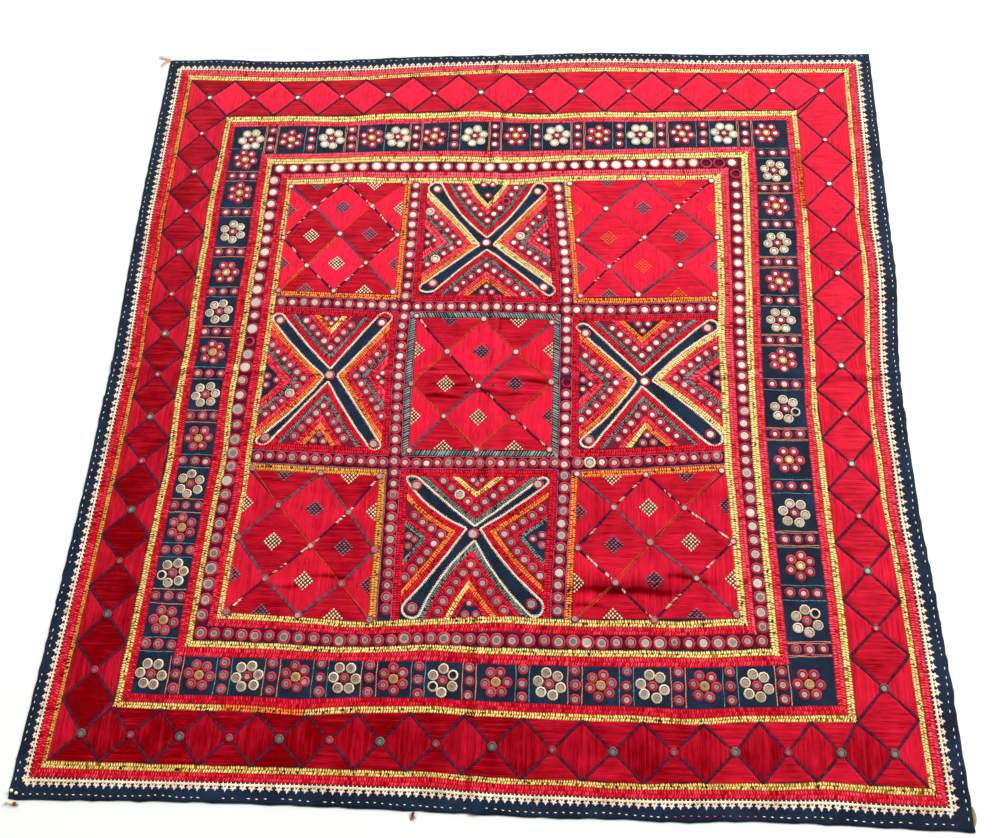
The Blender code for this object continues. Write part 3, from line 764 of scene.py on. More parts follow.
def side_by_side(edge_a, edge_b, pitch, rng, slant=0.0, wobble=0.45):
    """Ends of stitches laid side by side between two lines: evenly along their middle line, each end
    shifted along by half the slant, with a slow waver and a small jitter in where the needle went in."""
    travel = travel_of((edge_a + edge_b) / 2)
    count = max(2, int(round(travel[-1] / pitch)))
    at = (np.arange(count) + 0.5 + rng.uniform(-0.16, 0.16, count)) * travel[-1] / count
    start, end = (spots_at(edge, travel, np.clip(at + shift, 0, travel[-1]))
                  for edge, shift in ((edge_a, -slant / 2), (edge_b, slant / 2)))
    ahead = unit(end - start)
    start = start - ahead * (wander(at, wobble, 70, rng) + rng.uniform(-0.25, 0.25, count))[:, None]
    end = end + ahead * (wander(at, wobble, 55, rng) + rng.uniform(-0.25, 0.25, count))[:, None]
    kept = np.hypot(*(end - start).T) > 1.2
    return start[kept], end[kept], at[kept]


def chart_band(upright, outer, inner, low, high, mitres=(True, True)):
    """The two edges of a straight band on the chart, with mitred ends, laid on the cloth."""
    along = np.linspace(low, high, max(8, int(abs(high - low))))
    width = abs(outer - inner)
    ends = [np.abs(along - end) / width if mitred else np.ones_like(along)
            for end, mitred in zip((low, high), mitres)]
    depth = outer + (inner - outer) * np.clip(np.minimum(*ends), 0, 1)
    insets = (np.full_like(along, outer), depth)
    return [lay(inset, along) if upright else lay(along, inset) for inset in insets]


def side_band(side, outer, inner):
    """The two edges of a band along the whole of one side."""
    return chart_band(side in UPRIGHT_SIDES, SIGN[side] * outer, SIGN[side] * inner, -outer, outer)


def padding(pile, edge_a, edge_b, shade=-0.45, lift=0.16):
    """Padding threads across a band, below its stitches: one strip whose sides are the band's edges. Its
    usual tone, below nought, gives it the floss's painted shade, as it shows between the stitches.
    """
    rows = max(4, int(travel_of(edge_a)[-1] / 10))
    picked = np.unique(np.linspace(0, len(edge_a) - 1, rows).round().astype(int))
    a, b = edge_a[picked], edge_b[picked]
    middle = len(a) // 2
    if (b[middle] - a[middle]) @ right_of(a[-1] - a[0]) < 0:
        a, b = b, a
    grid = np.stack([a, (a + b) / 2, b], 1)
    across = np.hypot(*(b - a).T)[:, None] * np.array((0.0, 0.5, 1.0))
    thread = np.stack(np.broadcast_arrays(across, travel_of(a)[:, None]), -1)
    u, v = grid[..., 0], grid[..., 1]
    pile.add(place(u, v, ground(u, v) + lift), [sheets_of(1, len(a), 3)], shade, thread)


def sewn_band(pile, edge_a, edge_b, tone, rng, slant=1.5, holes=0.012):
    """A band of fishbone stitch over padding: two rows of slanting stitches, one from each edge, whose
    inner ends lap past the middle and whose sides press on each other. Widths and shades are uneven, now
    and then a stitch is painted dark, as painted shade between its neighbours, and more seldom one has worn
    away and bares the padding."""
    sizes = bpy.context.scene.hanging_sizes
    pitch = sizes.stitch_pitch / MM
    padding(pile, edge_a, edge_b)
    for near, far in ((edge_a, edge_b), (edge_b, edge_a)):
        across = far - near
        start, end, at = side_by_side(near - across * 0.06, near + across * 0.60, pitch, rng, slant, 0.5)
        kept = rng.random(len(start)) > holes
        start, end, at = start[kept], end[kept], at[kept]
        count = len(start)
        width = pitch * rng.uniform(0.95, 1.2, count)
        height = sizes.stitch_height / MM * rng.uniform(0.7, 1.15, count)
        shade = tone + wander(at, 0.14, 90, rng) + rng.uniform(-0.26, 0.26, count)
        # Now and then a stitch is darkened: painted shade, as if it lay low between its neighbours.
        shade = np.clip(shade, -0.2, 1.2) - 0.7 * (rng.random(count) < 0.04)
        stitches(pile, start, end, width, height, shade, painted_shade=PAINTED_FOOT_SHADE.get(pile.thread, 0.85))


def bare_spots(pile, edge_a, edge_b, gap, rng):
    """Dark slits across a band where its stitches have parted, roughly a gap apart, mostly near its
    middle. They are plum floss in painted shade, for the shade in the gaps."""
    travel = travel_of((edge_a + edge_b) / 2)
    count = int(travel[-1] / gap)
    if not count:
        return
    at = rng.uniform(0, travel[-1], count)
    a, b = spots_at(edge_a, travel, at), spots_at(edge_b, travel, at)
    spot, way = a + (b - a) * rng.uniform(0.28, 0.62, (count, 1)), unit(b - a)
    reach = way * rng.uniform(1.0, 1.8, (count, 1)) - right_of(way) * 0.3
    # The slits' dark tone is painted shade.
    stitches(pile, spot - reach, spot + reach, rng.uniform(0.9, 1.5, count), 0.35, -0.4, lift=0.85, painted_shade=0.0)


def slanting_band(pile, edge_a, edge_b, tone, rng):
    """A band of one row of long slanting stitches over padding, so that it looks striped across."""
    # Padding in deeper painted shade.
    padding(pile, edge_a, edge_b, -0.7)
    start, end, at = side_by_side(edge_a, edge_b, 3.3, rng, 4.6, 0.4)
    shade = tone + wander(at, 0.2, 60, rng) + rng.uniform(-0.25, 0.25, len(at))
    stitches(pile, start, end, 3.1, rng.uniform(0.8, 1.1, len(at)), shade, profile=LONG_STITCH, painted_shade=1.1)


def rope(pile, line, width, height, tone, rng, pitch=2.7, lift=0.0, dashes=None, dash_pile=None):
    """A couched line: short stitches along a path, each leaning across it and lapping the next by a third,
    like a twisted cord. Where dashes is given, runs of about so many stitches are in the other thread, with
    runs of about so many between them."""
    line = np.asarray(line, float)
    travel = travel_of(line)
    count = max(2, int(round(travel[-1] / pitch)))
    at = (np.arange(count) + 0.5) * travel[-1] / count
    shift = wander(at, 0.5, 45, rng)
    ahead = unit(spots_at(line, travel, at + 0.5) - spots_at(line, travel, at - 0.5))
    right = right_of(ahead)
    middle = spots_at(line, travel, at) + right * shift[:, None]
    half = ahead * (travel[-1] / count * 0.68) + right * (width * 0.24)
    start, end = middle - half, middle + half
    thick = width * rng.uniform(0.72, 0.9, count)
    tall = height * rng.uniform(0.85, 1.1, count)
    shade = np.clip(tone + rng.uniform(-0.2, 0.2, count), 0, 1)
    stitches(pile, start, end, thick, tall, shade, lift)
    if dashes is None:
        return
    lengths = np.tile(dashes, count)[:2 * count] * rng.uniform(0.5, 1.5, 2 * count)
    turns = np.cumsum(np.maximum(lengths.round(), 1)) - rng.integers(0, sum(dashes))
    pale = np.searchsorted(turns, np.arange(count), side="right") % 2 == 0
    pale &= rng.random(count) < 0.82
    stitches(dash_pile, start[pale], end[pale], thick[pale] * 0.85, tall[pale] * 1.2,
             rng.uniform(0.0, 0.95, pale.sum()), lift + 0.25, painted_shade=0.7)


def rows_over_folds(corners, along, longest):
    """How many rows a field of floss needs: more where its threads cross a tall pucker."""
    rows = int(np.clip(round(longest / 6.2), 5, 15))
    for middle_u, middle_v, half, behind, before, rise, turn in PUCKERS:
        crest = np.array((math.cos(math.radians(turn)), math.sin(math.radians(turn))))
        folded = (middle_u, middle_v) + np.array((-0.7, 0.0, 0.7))[:, None] * half * crest
        inside = np.all((folded > corners.min(0)) & (folded < corners.max(0)), axis=1).any()
        if rise > 0.85 and inside and abs(cross(along, crest)) > 0.6:
            rows = max(rows, int(np.clip(round(longest / 2.6), 5, 38)))
    return rows


def satin(pile, corners, along, tone, rng, lift=0.1, height=0.6):
    """A field of floss over a convex outline. Columns stand a third of a strand apart across the thread,
    and each runs between the two points where its line meets the outline, in closer rows where it crosses a
    fold. A strand is an arch of |cos| across it, the whole field is a low pillow that dips at the threads'
    ends, and each strand has its own shade and slack. Each strand is painted a little darker towards its
    sides, as painted shade between strands, and darker still in the crevice before a pucker."""
    corners, along = np.asarray(corners, float), unit(along)
    right = right_of(along)
    across, ahead = corners @ right, corners @ along
    floss_width = bpy.context.scene.hanging_sizes.floss_width / MM
    low, high = across.min(), across.max()
    columns = max(4, int(round((high - low) / (floss_width / 3))))
    p = low + (high - low) * (np.arange(columns) + 0.5) / columns
    p[0], p[-1] = low + 0.15, high - 0.15
    enter, leave = np.full(columns, np.inf), np.full(columns, -np.inf)
    for first in range(len(corners)):
        a, b = across[first - 1], across[first]
        if abs(a - b) < 1e-6:
            continue
        share = (p - a) / (b - a)
        met = (share >= 0) & (share <= 1)
        q = ahead[first - 1] + share * (ahead[first] - ahead[first - 1])
        enter = np.where(met, np.minimum(enter, q), enter)
        leave = np.where(met, np.maximum(leave, q), leave)
    rows = rows_over_folds(corners, along, (leave - enter).max())
    t = 0.35 * (1 - np.cos(math.pi * np.arange(rows) / (rows - 1))) + 0.3 * np.linspace(0, 1, rows)
    q = enter[None] + (leave - enter)[None] * t[:, None]
    strand = np.floor((p - low) / floss_width).astype(int)
    own = rng.uniform(-1, 1, (3, strand.max() + 1))[:, strand]
    arch = np.abs(np.cos(math.pi * ((p - low) / floss_width - strand - 0.5)))
    pillow = (1 - np.abs(2 * t - 1) ** 6)[:, None]
    slack = 0.16 * own[0] * np.sin(q / 19.0 + 3 * own[1])
    sway = 0.35 * own[2] * np.sin(q / 23.0 + 5 * own[0])
    u = q * along[0] + (p + sway) * right[0]
    v = q * along[1] + (p + sway) * right[1]
    up = ground(u, v) + lift + pillow * (height * (0.68 + 0.32 * arch) + slack) - 0.35 * (pillow < 0.05)
    # The darkening towards a strand's sides is painted shade between strands.
    shade = tone + 0.07 * own[1] + 0.07 * np.sin(q / 16.0 + 4 * own[2]) - 0.12 * (1 - arch)
    # Painted shade in the crevice before a pucker.
    shade = np.clip(shade, -0.1, 1) - crevice(u, v)
    thread = np.stack(np.broadcast_arrays(q, p[None]), -1)
    pile.add(place(u, v, up), [sheets_of(1, rows, columns)], shade, thread)


def add(tree, kind, settings=None, inputs=None):
    """Adds a node, with its settings, and its inputs as values or as links from other sockets."""
    node = tree.nodes.new(kind)
    for name, value in (settings or {}).items():
        setattr(node, name, value)
    for name, value in (inputs or {}).items():
        if isinstance(value, bpy.types.NodeSocket):
            tree.links.new(value, node.inputs[name])
        else:
            node.inputs[name].default_value = value
    return node


def maths(tree, operation, *values, clamp=False):
    """Result of a maths node over values or sockets."""
    return add(tree, "ShaderNodeMath", {"operation": operation, "use_clamp": clamp},
               dict(enumerate(values))).outputs["Value"]


def blend(tree, share, first, second):
    """The colour that lies a share of the way from the first colour to the second."""
    return add(tree, "ShaderNodeMix", {"data_type": "RGBA"}, {0: share, 6: first, 7: second}).outputs[2]


def ramp(tree, value, start, end, low=0.0, high=1.0, kind="SMOOTHSTEP"):
    """A value mapped from start and end to low and high, gently at both unless it is LINEAR."""
    return add(tree, "ShaderNodeMapRange", {"interpolation_type": kind}, {
        "Value": value, "From Min": start, "From Max": end, "To Min": low, "To Max": high}).outputs["Result"]


def noise(tree, at, scale, detail, roughness=0.5, dimensions="3D"):
    """Cloudy noise over places, from about 0.2 to 0.8."""
    return add(tree, "ShaderNodeTexNoise", {"noise_dimensions": dimensions}, {
        "Vector": at, "Scale": scale, "Detail": detail, "Roughness": roughness}).outputs["Fac"]


def stretched(tree, at, scale, shift=(0.0, 0.0, 0.0)):
    """Places scaled and shifted along each axis."""
    return add(tree, "ShaderNodeMapping", inputs={
        "Vector": at, "Location": shift, "Scale": scale}).outputs["Vector"]


def bumped(tree, height, strength, depth):
    """The normal of a surface that stands out by a height, of the given depth in millimetres."""
    return add(tree, "ShaderNodeBump", inputs={
        "Height": height, "Strength": strength, "Distance": depth * MM}).outputs["Normal"]


def thread_uv(tree):
    """Places along and across the thread, in millimetres."""
    return add(tree, "ShaderNodeUVMap", {"uv_map": "thread"}).outputs["UV"]


def tone_of(tree):
    """Each stitch's own shade."""
    return add(tree, "ShaderNodeAttribute", {"attribute_name": "tone"}).outputs["Fac"]


def places_of(tree):
    """Places in the frame, in metres."""
    return add(tree, "ShaderNodeTexCoord").outputs["Object"]


def new_finish(name):
    """An empty material and its node tree."""
    finish = bpy.data.materials.new(name)
    finish.use_nodes = True
    finish.node_tree.nodes.clear()
    return finish, finish.node_tree


def surfaced(finish, inputs):
    """The material, with a principled surface of these inputs."""
    tree = finish.node_tree
    shader = add(tree, "ShaderNodeBsdfPrincipled", inputs=inputs)
    add(tree, "ShaderNodeOutputMaterial", inputs={"Surface": shader.outputs["BSDF"]})
    return finish


def floss(name, deep, bright, roughness, parted, specks):
    """Silk floss, untwisted and laid flat. Its filaments run with the stitch, so light stretches into a
    band across them and takes the dye's own colour, and the dye looks deep or bright with each strand's
    tone. Where the tone falls below nought, at the feet of stitches, in crevices and on padding, the colour
    turns towards a painted shade, about a fifth as bright as the deep dye. Filaments are far too fine to
    show, so the streaks are drawn about 1 mm wide and 15 mm long. The whole is a little uneven over 30 mm,
    from how it was pulled and worn. Where long strands have parted, thin gaps up to 25 mm long take that
    painted shade, by the given share. A band's stitches leave specks about a millimetre wide and 4 mm
    apart, of the given strength, where the ground shows between them: partly the dark ground, partly
    painted shade, near black."""
    finish, tree = new_finish(name)
    thread, at = thread_uv(tree), places_of(tree)
    streaks = noise(tree, stretched(tree, thread, (0.065, 1.1, 1.0)), 1.0, 3.0, 0.65, "2D")
    swing = 0.56 if parted else 0.8
    fine = maths(tree, "MULTIPLY_ADD", streaks, swing, -swing / 2)
    slow = maths(tree, "MULTIPLY_ADD", noise(tree, at, 34.0, 3.0), 0.55, -0.275)
    shade = maths(tree, "ADD", tone_of(tree), maths(tree, "ADD", fine, slow))
    # Painted shade: the deep dye at about a fifth of its brightness, for tones below nought.
    painted_shade = (*(channel * 0.22 for channel in deep[:3]), 1.0)
    below = ramp(tree, shade, 0.0, -0.6, high=0.9, kind="LINEAR")
    colour = blend(tree, below, blend(tree, shade, deep, bright), painted_shade)
    if parted:
        # Parted gaps take the painted shade.
        gaps = noise(tree, stretched(tree, thread, (0.04, 0.85, 1.0), (31.0, 17.0, 0.0)), 1.0, 2.0, 0.5, "2D")
        colour = blend(tree, ramp(tree, gaps, 0.40, 0.28, high=parted), colour, painted_shade)
    if specks:
        # Specks between stitches, near black: the dark ground, deepened by painted shade.
        cells = add(tree, "ShaderNodeTexVoronoi", {"feature": "F1", "voronoi_dimensions": "3D"},
                    {"Vector": at, "Scale": 255.0, "Randomness": 0.75}).outputs["Distance"]
        colour = blend(tree, ramp(tree, cells, 0.26, 0.12, high=specks), colour, linear("#241208"))
    tangent = add(tree, "ShaderNodeTangent", {"direction_type": "UV_MAP", "uv_map": "thread"})
    return surfaced(finish, {
        "Base Color": colour, "Roughness": roughness, "Anisotropic": 0.7,
        "Normal": bumped(tree, streaks, 0.3 if parted else 0.6, 0.3),
        "Tangent": tangent.outputs["Tangent"], "Specular IOR Level": 0.2, "Specular Tint": bright})


def ring_floss(name, deep, bright, inner):
    """Buttonhole stitch round a mirror. Each stitch runs from the outside in, 1.3 mm apart, and is painted
    lighter on its ridge and darker in the grooves beside it, as painted light and shade. The inner edge
    that holds the glass takes the inner colour: partly a darker thread there, partly painted shade."""
    finish, tree = new_finish(name)
    apart = add(tree, "ShaderNodeSeparateXYZ", inputs={"Vector": thread_uv(tree)}).outputs
    spokes = maths(tree, "SINE", maths(tree, "MULTIPLY", apart["Y"], 2 * math.pi / 1.3))
    # Painted highlight on each stitch's ridge and painted shade in the grooves between.
    shade = maths(tree, "MULTIPLY_ADD", spokes, 0.18, tone_of(tree), clamp=True)
    # Inner edge: a darker thread and painted shade next to the glass.
    colour = blend(tree, ramp(tree, apart["X"], 0.52, 0.86), blend(tree, shade, deep, bright), inner)
    return surfaced(finish, {
        "Base Color": colour, "Roughness": 0.5, "Normal": bumped(tree, spokes, 0.6, 0.15),
        "Specular IOR Level": 0.3, "Specular Tint": bright})


def woven_cotton(name, colour, faded):
    """Cotton in plain weave. Its threads are 0.4 mm apart, too fine to show, so the weave is drawn at 1.1
    mm, and the dye has faded in soft patches 30 to 60 mm across."""
    finish, tree = new_finish(name)
    at = places_of(tree)
    waves = [add(tree, "ShaderNodeTexWave", {"wave_type": "BANDS", "bands_direction": axis},
                 {"Vector": at, "Scale": 2 / (20 * 1.1 * MM) * math.pi, "Distortion": 1.2, "Detail": 1.0,
                  "Detail Scale": 2.0}).outputs["Fac"] for axis in ("X", "Y")]
    worn = ramp(tree, noise(tree, at, 22.0, 5.0, 0.65), 0.38, 0.72, high=0.55, kind="LINEAR")
    return surfaced(finish, {
        "Base Color": blend(tree, worn, colour, faded), "Roughness": 0.85,
        "Normal": bumped(tree, maths(tree, "MULTIPLY", *waves), 0.5, 0.2),
        "Sheen Weight": 0.04, "Sheen Roughness": 0.6, "Specular IOR Level": 0.12})


def mirror_glass(name, wear, backing):
    """Hand-cut silvered glass, a little smoky. Worn pieces have lost silver in blotches 1 to 3 mm across,
    where the backing shows. Towards the rim the glass turns duller and takes the backing's colour, as
    painted shade from the ring that stands round it: the "thread" UV runs from nought at the middle to one
    there."""
    finish, tree = new_finish(name)
    spread = add(tree, "ShaderNodeVectorMath", {"operation": "LENGTH"}, {0: thread_uv(tree)}).outputs["Value"]
    # Painted shade of the ring on the glass, towards its rim.
    rim_shade = ramp(tree, spread, 0.42, 0.95, high=0.8)
    blotches = ramp(tree, noise(tree, places_of(tree), 300.0, 4.0, 0.7), 0.72 - wear, 0.86 - wear)
    # Lost silver, and the rim's painted shade.
    lost = maths(tree, "MAXIMUM", blotches, rim_shade)
    return surfaced(finish, {
        "Base Color": blend(tree, lost, linear("#f6eedf"), linear(backing)),
        "Metallic": ramp(tree, lost, 0.0, 1.0, 1.0, 0.15, "LINEAR"),
        "Roughness": ramp(tree, lost, 0.0, 1.0, 0.13, 0.45, "LINEAR")})


def finish_of(thread):
    """The thread's floss, made once."""
    name = f"silk_floss_{thread}"
    if name in bpy.data.materials:
        return bpy.data.materials[name]
    dyes = bpy.context.scene.hanging_dyes
    deep, bright = (tuple(getattr(dyes, f"{thread}_{shade}", linear(code)))
                    for shade, code in zip(("deep", "bright"), DYES[thread]))
    shares = (table.get(thread, 0.0) for table in (PARTED, SPECKS))
    return floss(name, deep, bright, ROUGH.get(thread, 0.45), *shares)


def make_pieces(prefix, piles):
    """One piece for each thread that was used."""
    for thread, pile in piles.items():
        if pile.count:
            pile.make(f"{prefix}_{thread}")


def new_piles(*threads):
    """An empty pile for each thread."""
    return {thread: Pile(thread) for thread in threads}


def along_run(knots):
    """Places of every item of a run, from the number and place of a few."""
    numbers = [row[0] for row in knots]
    return np.interp(range(numbers[-1] + 1), numbers, [row[1] for row in knots])


def joint_places(side):
    """Chart places along a side of its joint mirrors, in order, and their real places."""
    chart = on_seam(side, along_run(JOINT_RUNS[side]), DIAMOND_MIDDLE)
    places = on_side(side, chart, DIAMOND_MIDDLE)
    if side in UPRIGHT_SIDES:
        at = 0 if side == "left" else -1
        places[0], places[-1] = joint_places("back")[1][at], joint_places("front")[1][at]
    return chart, places


def nearest_on(line_start, line_end, point):
    """The point of a straight line that is nearest to another."""
    way = line_end - line_start
    return line_start + way * np.dot(point - line_start, way) / np.dot(way, way)


def mirror(u, v, glass, ring, lift=0.0, thread="raspberry", state="clear"):
    """One mirror: its place, the radius of its glass and ring, its lift, its ring's thread and its glass's
    state."""
    return u, v, glass, ring, lift, thread, state


def ring_mirrors():
    """Every mirror that scene makes but those at the joints of the diamond border."""
    rng = np.random.default_rng(7)
    rows = []
    for side, (knots, glass, ring, lost) in BORDER_RUNS.items():
        chart = on_seam(side, along_run(knots), MIRROR_MIDDLE)
        inset = MIRROR_MIDDLE + rng.uniform(-0.9, 0.9, len(chart))
        for number, spot in enumerate(on_side(side, chart, inset)):
            size = rng.uniform(0.88, 1.1) if side in ("back", "right") else rng.uniform(0.82, 1.4)
            rows.append(mirror(*spot, glass * size, ring * (0.5 + 0.5 * size),
                               state="missing" if number in lost else "clear"))
    crossed = [row[1] for row in STRIP_RUNS if row[0] == "upright"]
    for direction, strip, knots, glass, ring, lost in STRIP_RUNS:
        upright = direction == "upright"
        real, chart = along_run(knots), np.arange(-EDGE, EDGE + 1)
        laid = lay(strip, chart)[:, 1] if upright else lay(chart, strip)[:, 0]
        where = np.interp(real, laid, chart)
        across = strip + rng.uniform(-0.8, 0.8, len(real))
        for number, (u, v) in enumerate(lay(across, where) if upright else lay(where, across)):
            if not upright and min(abs(where[number] - other) for other in crossed) < 9.0:
                continue
            size = rng.uniform(0.85, 1.12) * (1.12 if upright and v > 150 else 1.0)
            rows.append(mirror(u, v, glass * size, ring * (0.5 + 0.5 * size),
                               thread="cream" if rng.random() < 0.03 else "raspberry",
                               state="missing" if number in lost else "clear"))
    for places in SQUARE_PLACES.values():
        rows += [mirror(*spot, 2.8 * rng.uniform(0.9, 1.15), 5.0, 0.35) for spot in places]
    return rows + star_mirrors(rng) + flower_mirrors(rng)


def bent_leg(apex, middle, end):
    """A quadratic curve through three points, with the middle one at its share of the way, carried straight
    on for 3 mm before it and 45 mm after."""
    apex, middle, end = (np.array(point, float) for point in (apex, middle, end))
    near, far = np.hypot(*(middle - apex)), np.hypot(*(end - middle))
    s = near / (near + far)
    pull = (middle - (1 - s) ** 2 * apex - s ** 2 * end) / (2 * s * (1 - s))
    t = np.linspace(0, 1, 33)[:, None]
    curve = (1 - t) ** 2 * apex + 2 * t * (1 - t) * pull + t ** 2 * end
    before, after = unit(curve[0] - curve[1]), unit(curve[-1] - curve[-2])
    return np.concatenate([[curve[0] + before * 3], curve, [curve[-1] + after * 45]])


def moved_in(line, offset, inside):
    """A line moved sideways by an offset, towards the side where the given point lies."""
    right = right_of(unit(np.gradient(line, axis=0)))
    half = len(line) // 2
    sign = 1.0 if right[half] @ (inside - line[half]) > 0 else -1.0
    return line + right * sign * offset


def crossing(first, second):
    """Where two polylines first cross: the place and how many steps along the first one, or none."""
    a, run_a = first[:-1, None], np.diff(first, axis=0)[:, None]
    b, run_b = second[None, :-1], np.diff(second, axis=0)[None]
    turn = cross(run_a, run_b)
    turn = np.where(np.abs(turn) < 1e-9, 1e-9, turn)
    s, t = cross(b - a, run_b) / turn, cross(b - a, run_a) / turn
    met = (s >= 0) & (s <= 1) & (t >= 0) & (t <= 1)
    if not met.any():
        return None
    row = int(np.argmax(met.any(axis=1)))
    share = s[row, int(np.argmax(met[row]))]
    return first[row] + (first[row + 1] - first[row]) * share, row + share


def cut_between(line, first, last, count=48):
    """The part of a polyline between two places along it, as evenly spaced points."""
    travel = travel_of(line)
    where = np.linspace(*np.interp((first, last), np.arange(len(line)), travel), count)
    return spots_at(line, travel, where)


def chevron(name, quarter, offset):
    """Both legs of the line that runs at an offset inside a quarter's cream edge, each from where the two
    cross to the side of the panel, or none where they have no room."""
    label, apex, *points = quarter
    left, right, front, back = STAR_CHARTS[name]
    corners = (lay(left, back), lay(right, back), lay(left, front), lay(right, front))
    first, last = (corners[number] for number in ARM_PAIRS[label])
    side = np.array((first - (last - first), last + (last - first)))
    inside = (first + last) / 2
    legs = [moved_in(bent_leg(apex, *points[at:at + 2]), offset, inside) for at in (0, 2)]
    cut = []
    for own, other in (legs, legs[::-1]):
        tip, end = crossing(own, other), crossing(own, side)
        if tip is None or end is None or end[1] <= tip[1]:
            return None
        cut.append(cut_between(own, tip[1], end[1]))
    return cut


def bands_of(name, label):
    """The bands of a star's quarter."""
    kind = "level" if label in ("back", "front") else "upright"
    return STAR_BANDS[f"front_{kind}" if name == "front" else kind]


def star_mirrors(rng):
    """Mirrors at a star's centre and arm ends, along the bare row of each quarter, and three in its
    triangle."""
    rows = []
    for name, (centre, *ends) in STAR_PLACES.items():
        rows.append(mirror(*centre, 4.6, 6.8, 0.25))
        rows += [mirror(*end, 4.3, 6.8, 0.1) for end in ends]
        for quarter in STAR_EDGES[name]:
            bands = bands_of(name, quarter[0])
            low, high = next(band[1:] for band in bands if band[0] == "mirrors")
            legs = chevron(name, quarter, (low + high) / 2)
            rows.append(mirror(*legs[0][0], 3.3, 6.5))
            for leg in legs:
                travel = travel_of(leg)
                for step in np.arange(STAR_PITCH, travel[-1] - 3.5, STAR_PITCH):
                    spot = spots_at(leg, travel, step) + rng.uniform(-0.5, 0.5, 2)
                    known = any(np.hypot(*(spot - place)) < 6.5 for place in CREAM_RINGS)
                    pale = rng.random() < 0.05 or known
                    gone = np.hypot(*(spot - LOST_STAR)) < 7.0
                    rows.append(mirror(*spot, rng.uniform(2.6, 3.6), 6.5,
                                       thread="cream" if pale and not gone else "raspberry",
                                       state="missing" if gone else "clear"))
            inner = chevron(name, quarter, min(bands[-1][2], 36.6) + 1.0)
            if inner is None:
                continue
            tip, first, last = inner[0][0], inner[0][-1], inner[1][-1]
            middle = (first + last) / 2
            depth, aside = middle - tip, unit(last - first)
            scale = np.hypot(*depth)
            if scale > 14:
                rows.append(mirror(*(tip + depth * 0.40), 2.5, 5.1, 0.2))
            for turn in (-1, 1):
                spot = middle - depth * min(0.27, 5.2 / scale) + aside * turn * min(0.36 * scale, 6.4)
                rows.append(mirror(*spot, 2.6, 5.2, 0.2))
    return rows


def flower_items(side):
    """Number, centre, direction towards the field and chart place of each item of a side's flower band."""
    chart = on_seam(side, along_run(FLOWER_RUNS[side][0]), FLOWER_MIDDLE)
    centre = on_side(side, chart, FLOWER_MIDDLE)
    inward = unit(on_side(side, chart, FLOWER_MIDDLE - 8) - on_side(side, chart, FLOWER_MIDDLE + 8))
    return list(zip(range(len(chart)), centre, inward, chart))


def flower_mirrors(rng):
    """Six petals round a centre for each flower, and three mirrors in a row across the band for each bar. A
    corner's flower belongs to the back or front side. The cream petals' glass is worn, but for the back
    side's."""
    rows = []
    for side in SIDES:
        kinds, bars = FLOWER_RUNS[side][1:]
        items = flower_items(side)
        for number, centre, inward, chart in items:
            if number % 2:
                if bars[number // 2] != "s":
                    for step in (-15.4, 0.0, 15.4):
                        spot = centre + inward * step + rng.uniform(-0.6, 0.6, 2)
                        rows.append(mirror(*spot, rng.uniform(2.6, 3.4), rng.uniform(5.8, 6.6)))
                continue
            if side in UPRIGHT_SIDES and number in (0, len(items) - 1):
                continue
            cream = kinds[number // 2] == "c"
            turn = rng.uniform(0, math.pi / 3)
            for petal in range(6):
                angle = turn + petal * math.pi / 3 + rng.uniform(-0.06, 0.06)
                spot = centre + (13.0 if cream else 12.6) * np.array((math.cos(angle), math.sin(angle)))
                spot = spot + rng.uniform(-0.5, 0.5, 2)
                state = "worn" if rng.random() < (0.04 if side == "back" or not cream else 0.85) else "clear"
                if any(np.hypot(*(spot - lost)) < 8.0 for lost in LOST_PETALS):
                    state = "missing"
                if cream and side == "back":
                    state = "crazed" if state == "clear" else state
                    rows.append(mirror(*spot, 5.0, 6.5, 0.0, "cream", state))
                elif cream:
                    rows.append(mirror(*spot, 3.6, 6.2, -0.1, "cream", state))
                else:
                    rows.append(mirror(*spot, rng.uniform(2.4, 3.0), 6.2, state=state))
            rows.append(mirror(*centre, 2.6 if cream else 3.1, 5.7, 0.3, "raspberry" if cream else "gold"))
    return rows


class HangingOperator(bpy.types.Operator):
    """Shared options of this add-on's operators."""

    bl_options = {"REGISTER", "UNDO"}


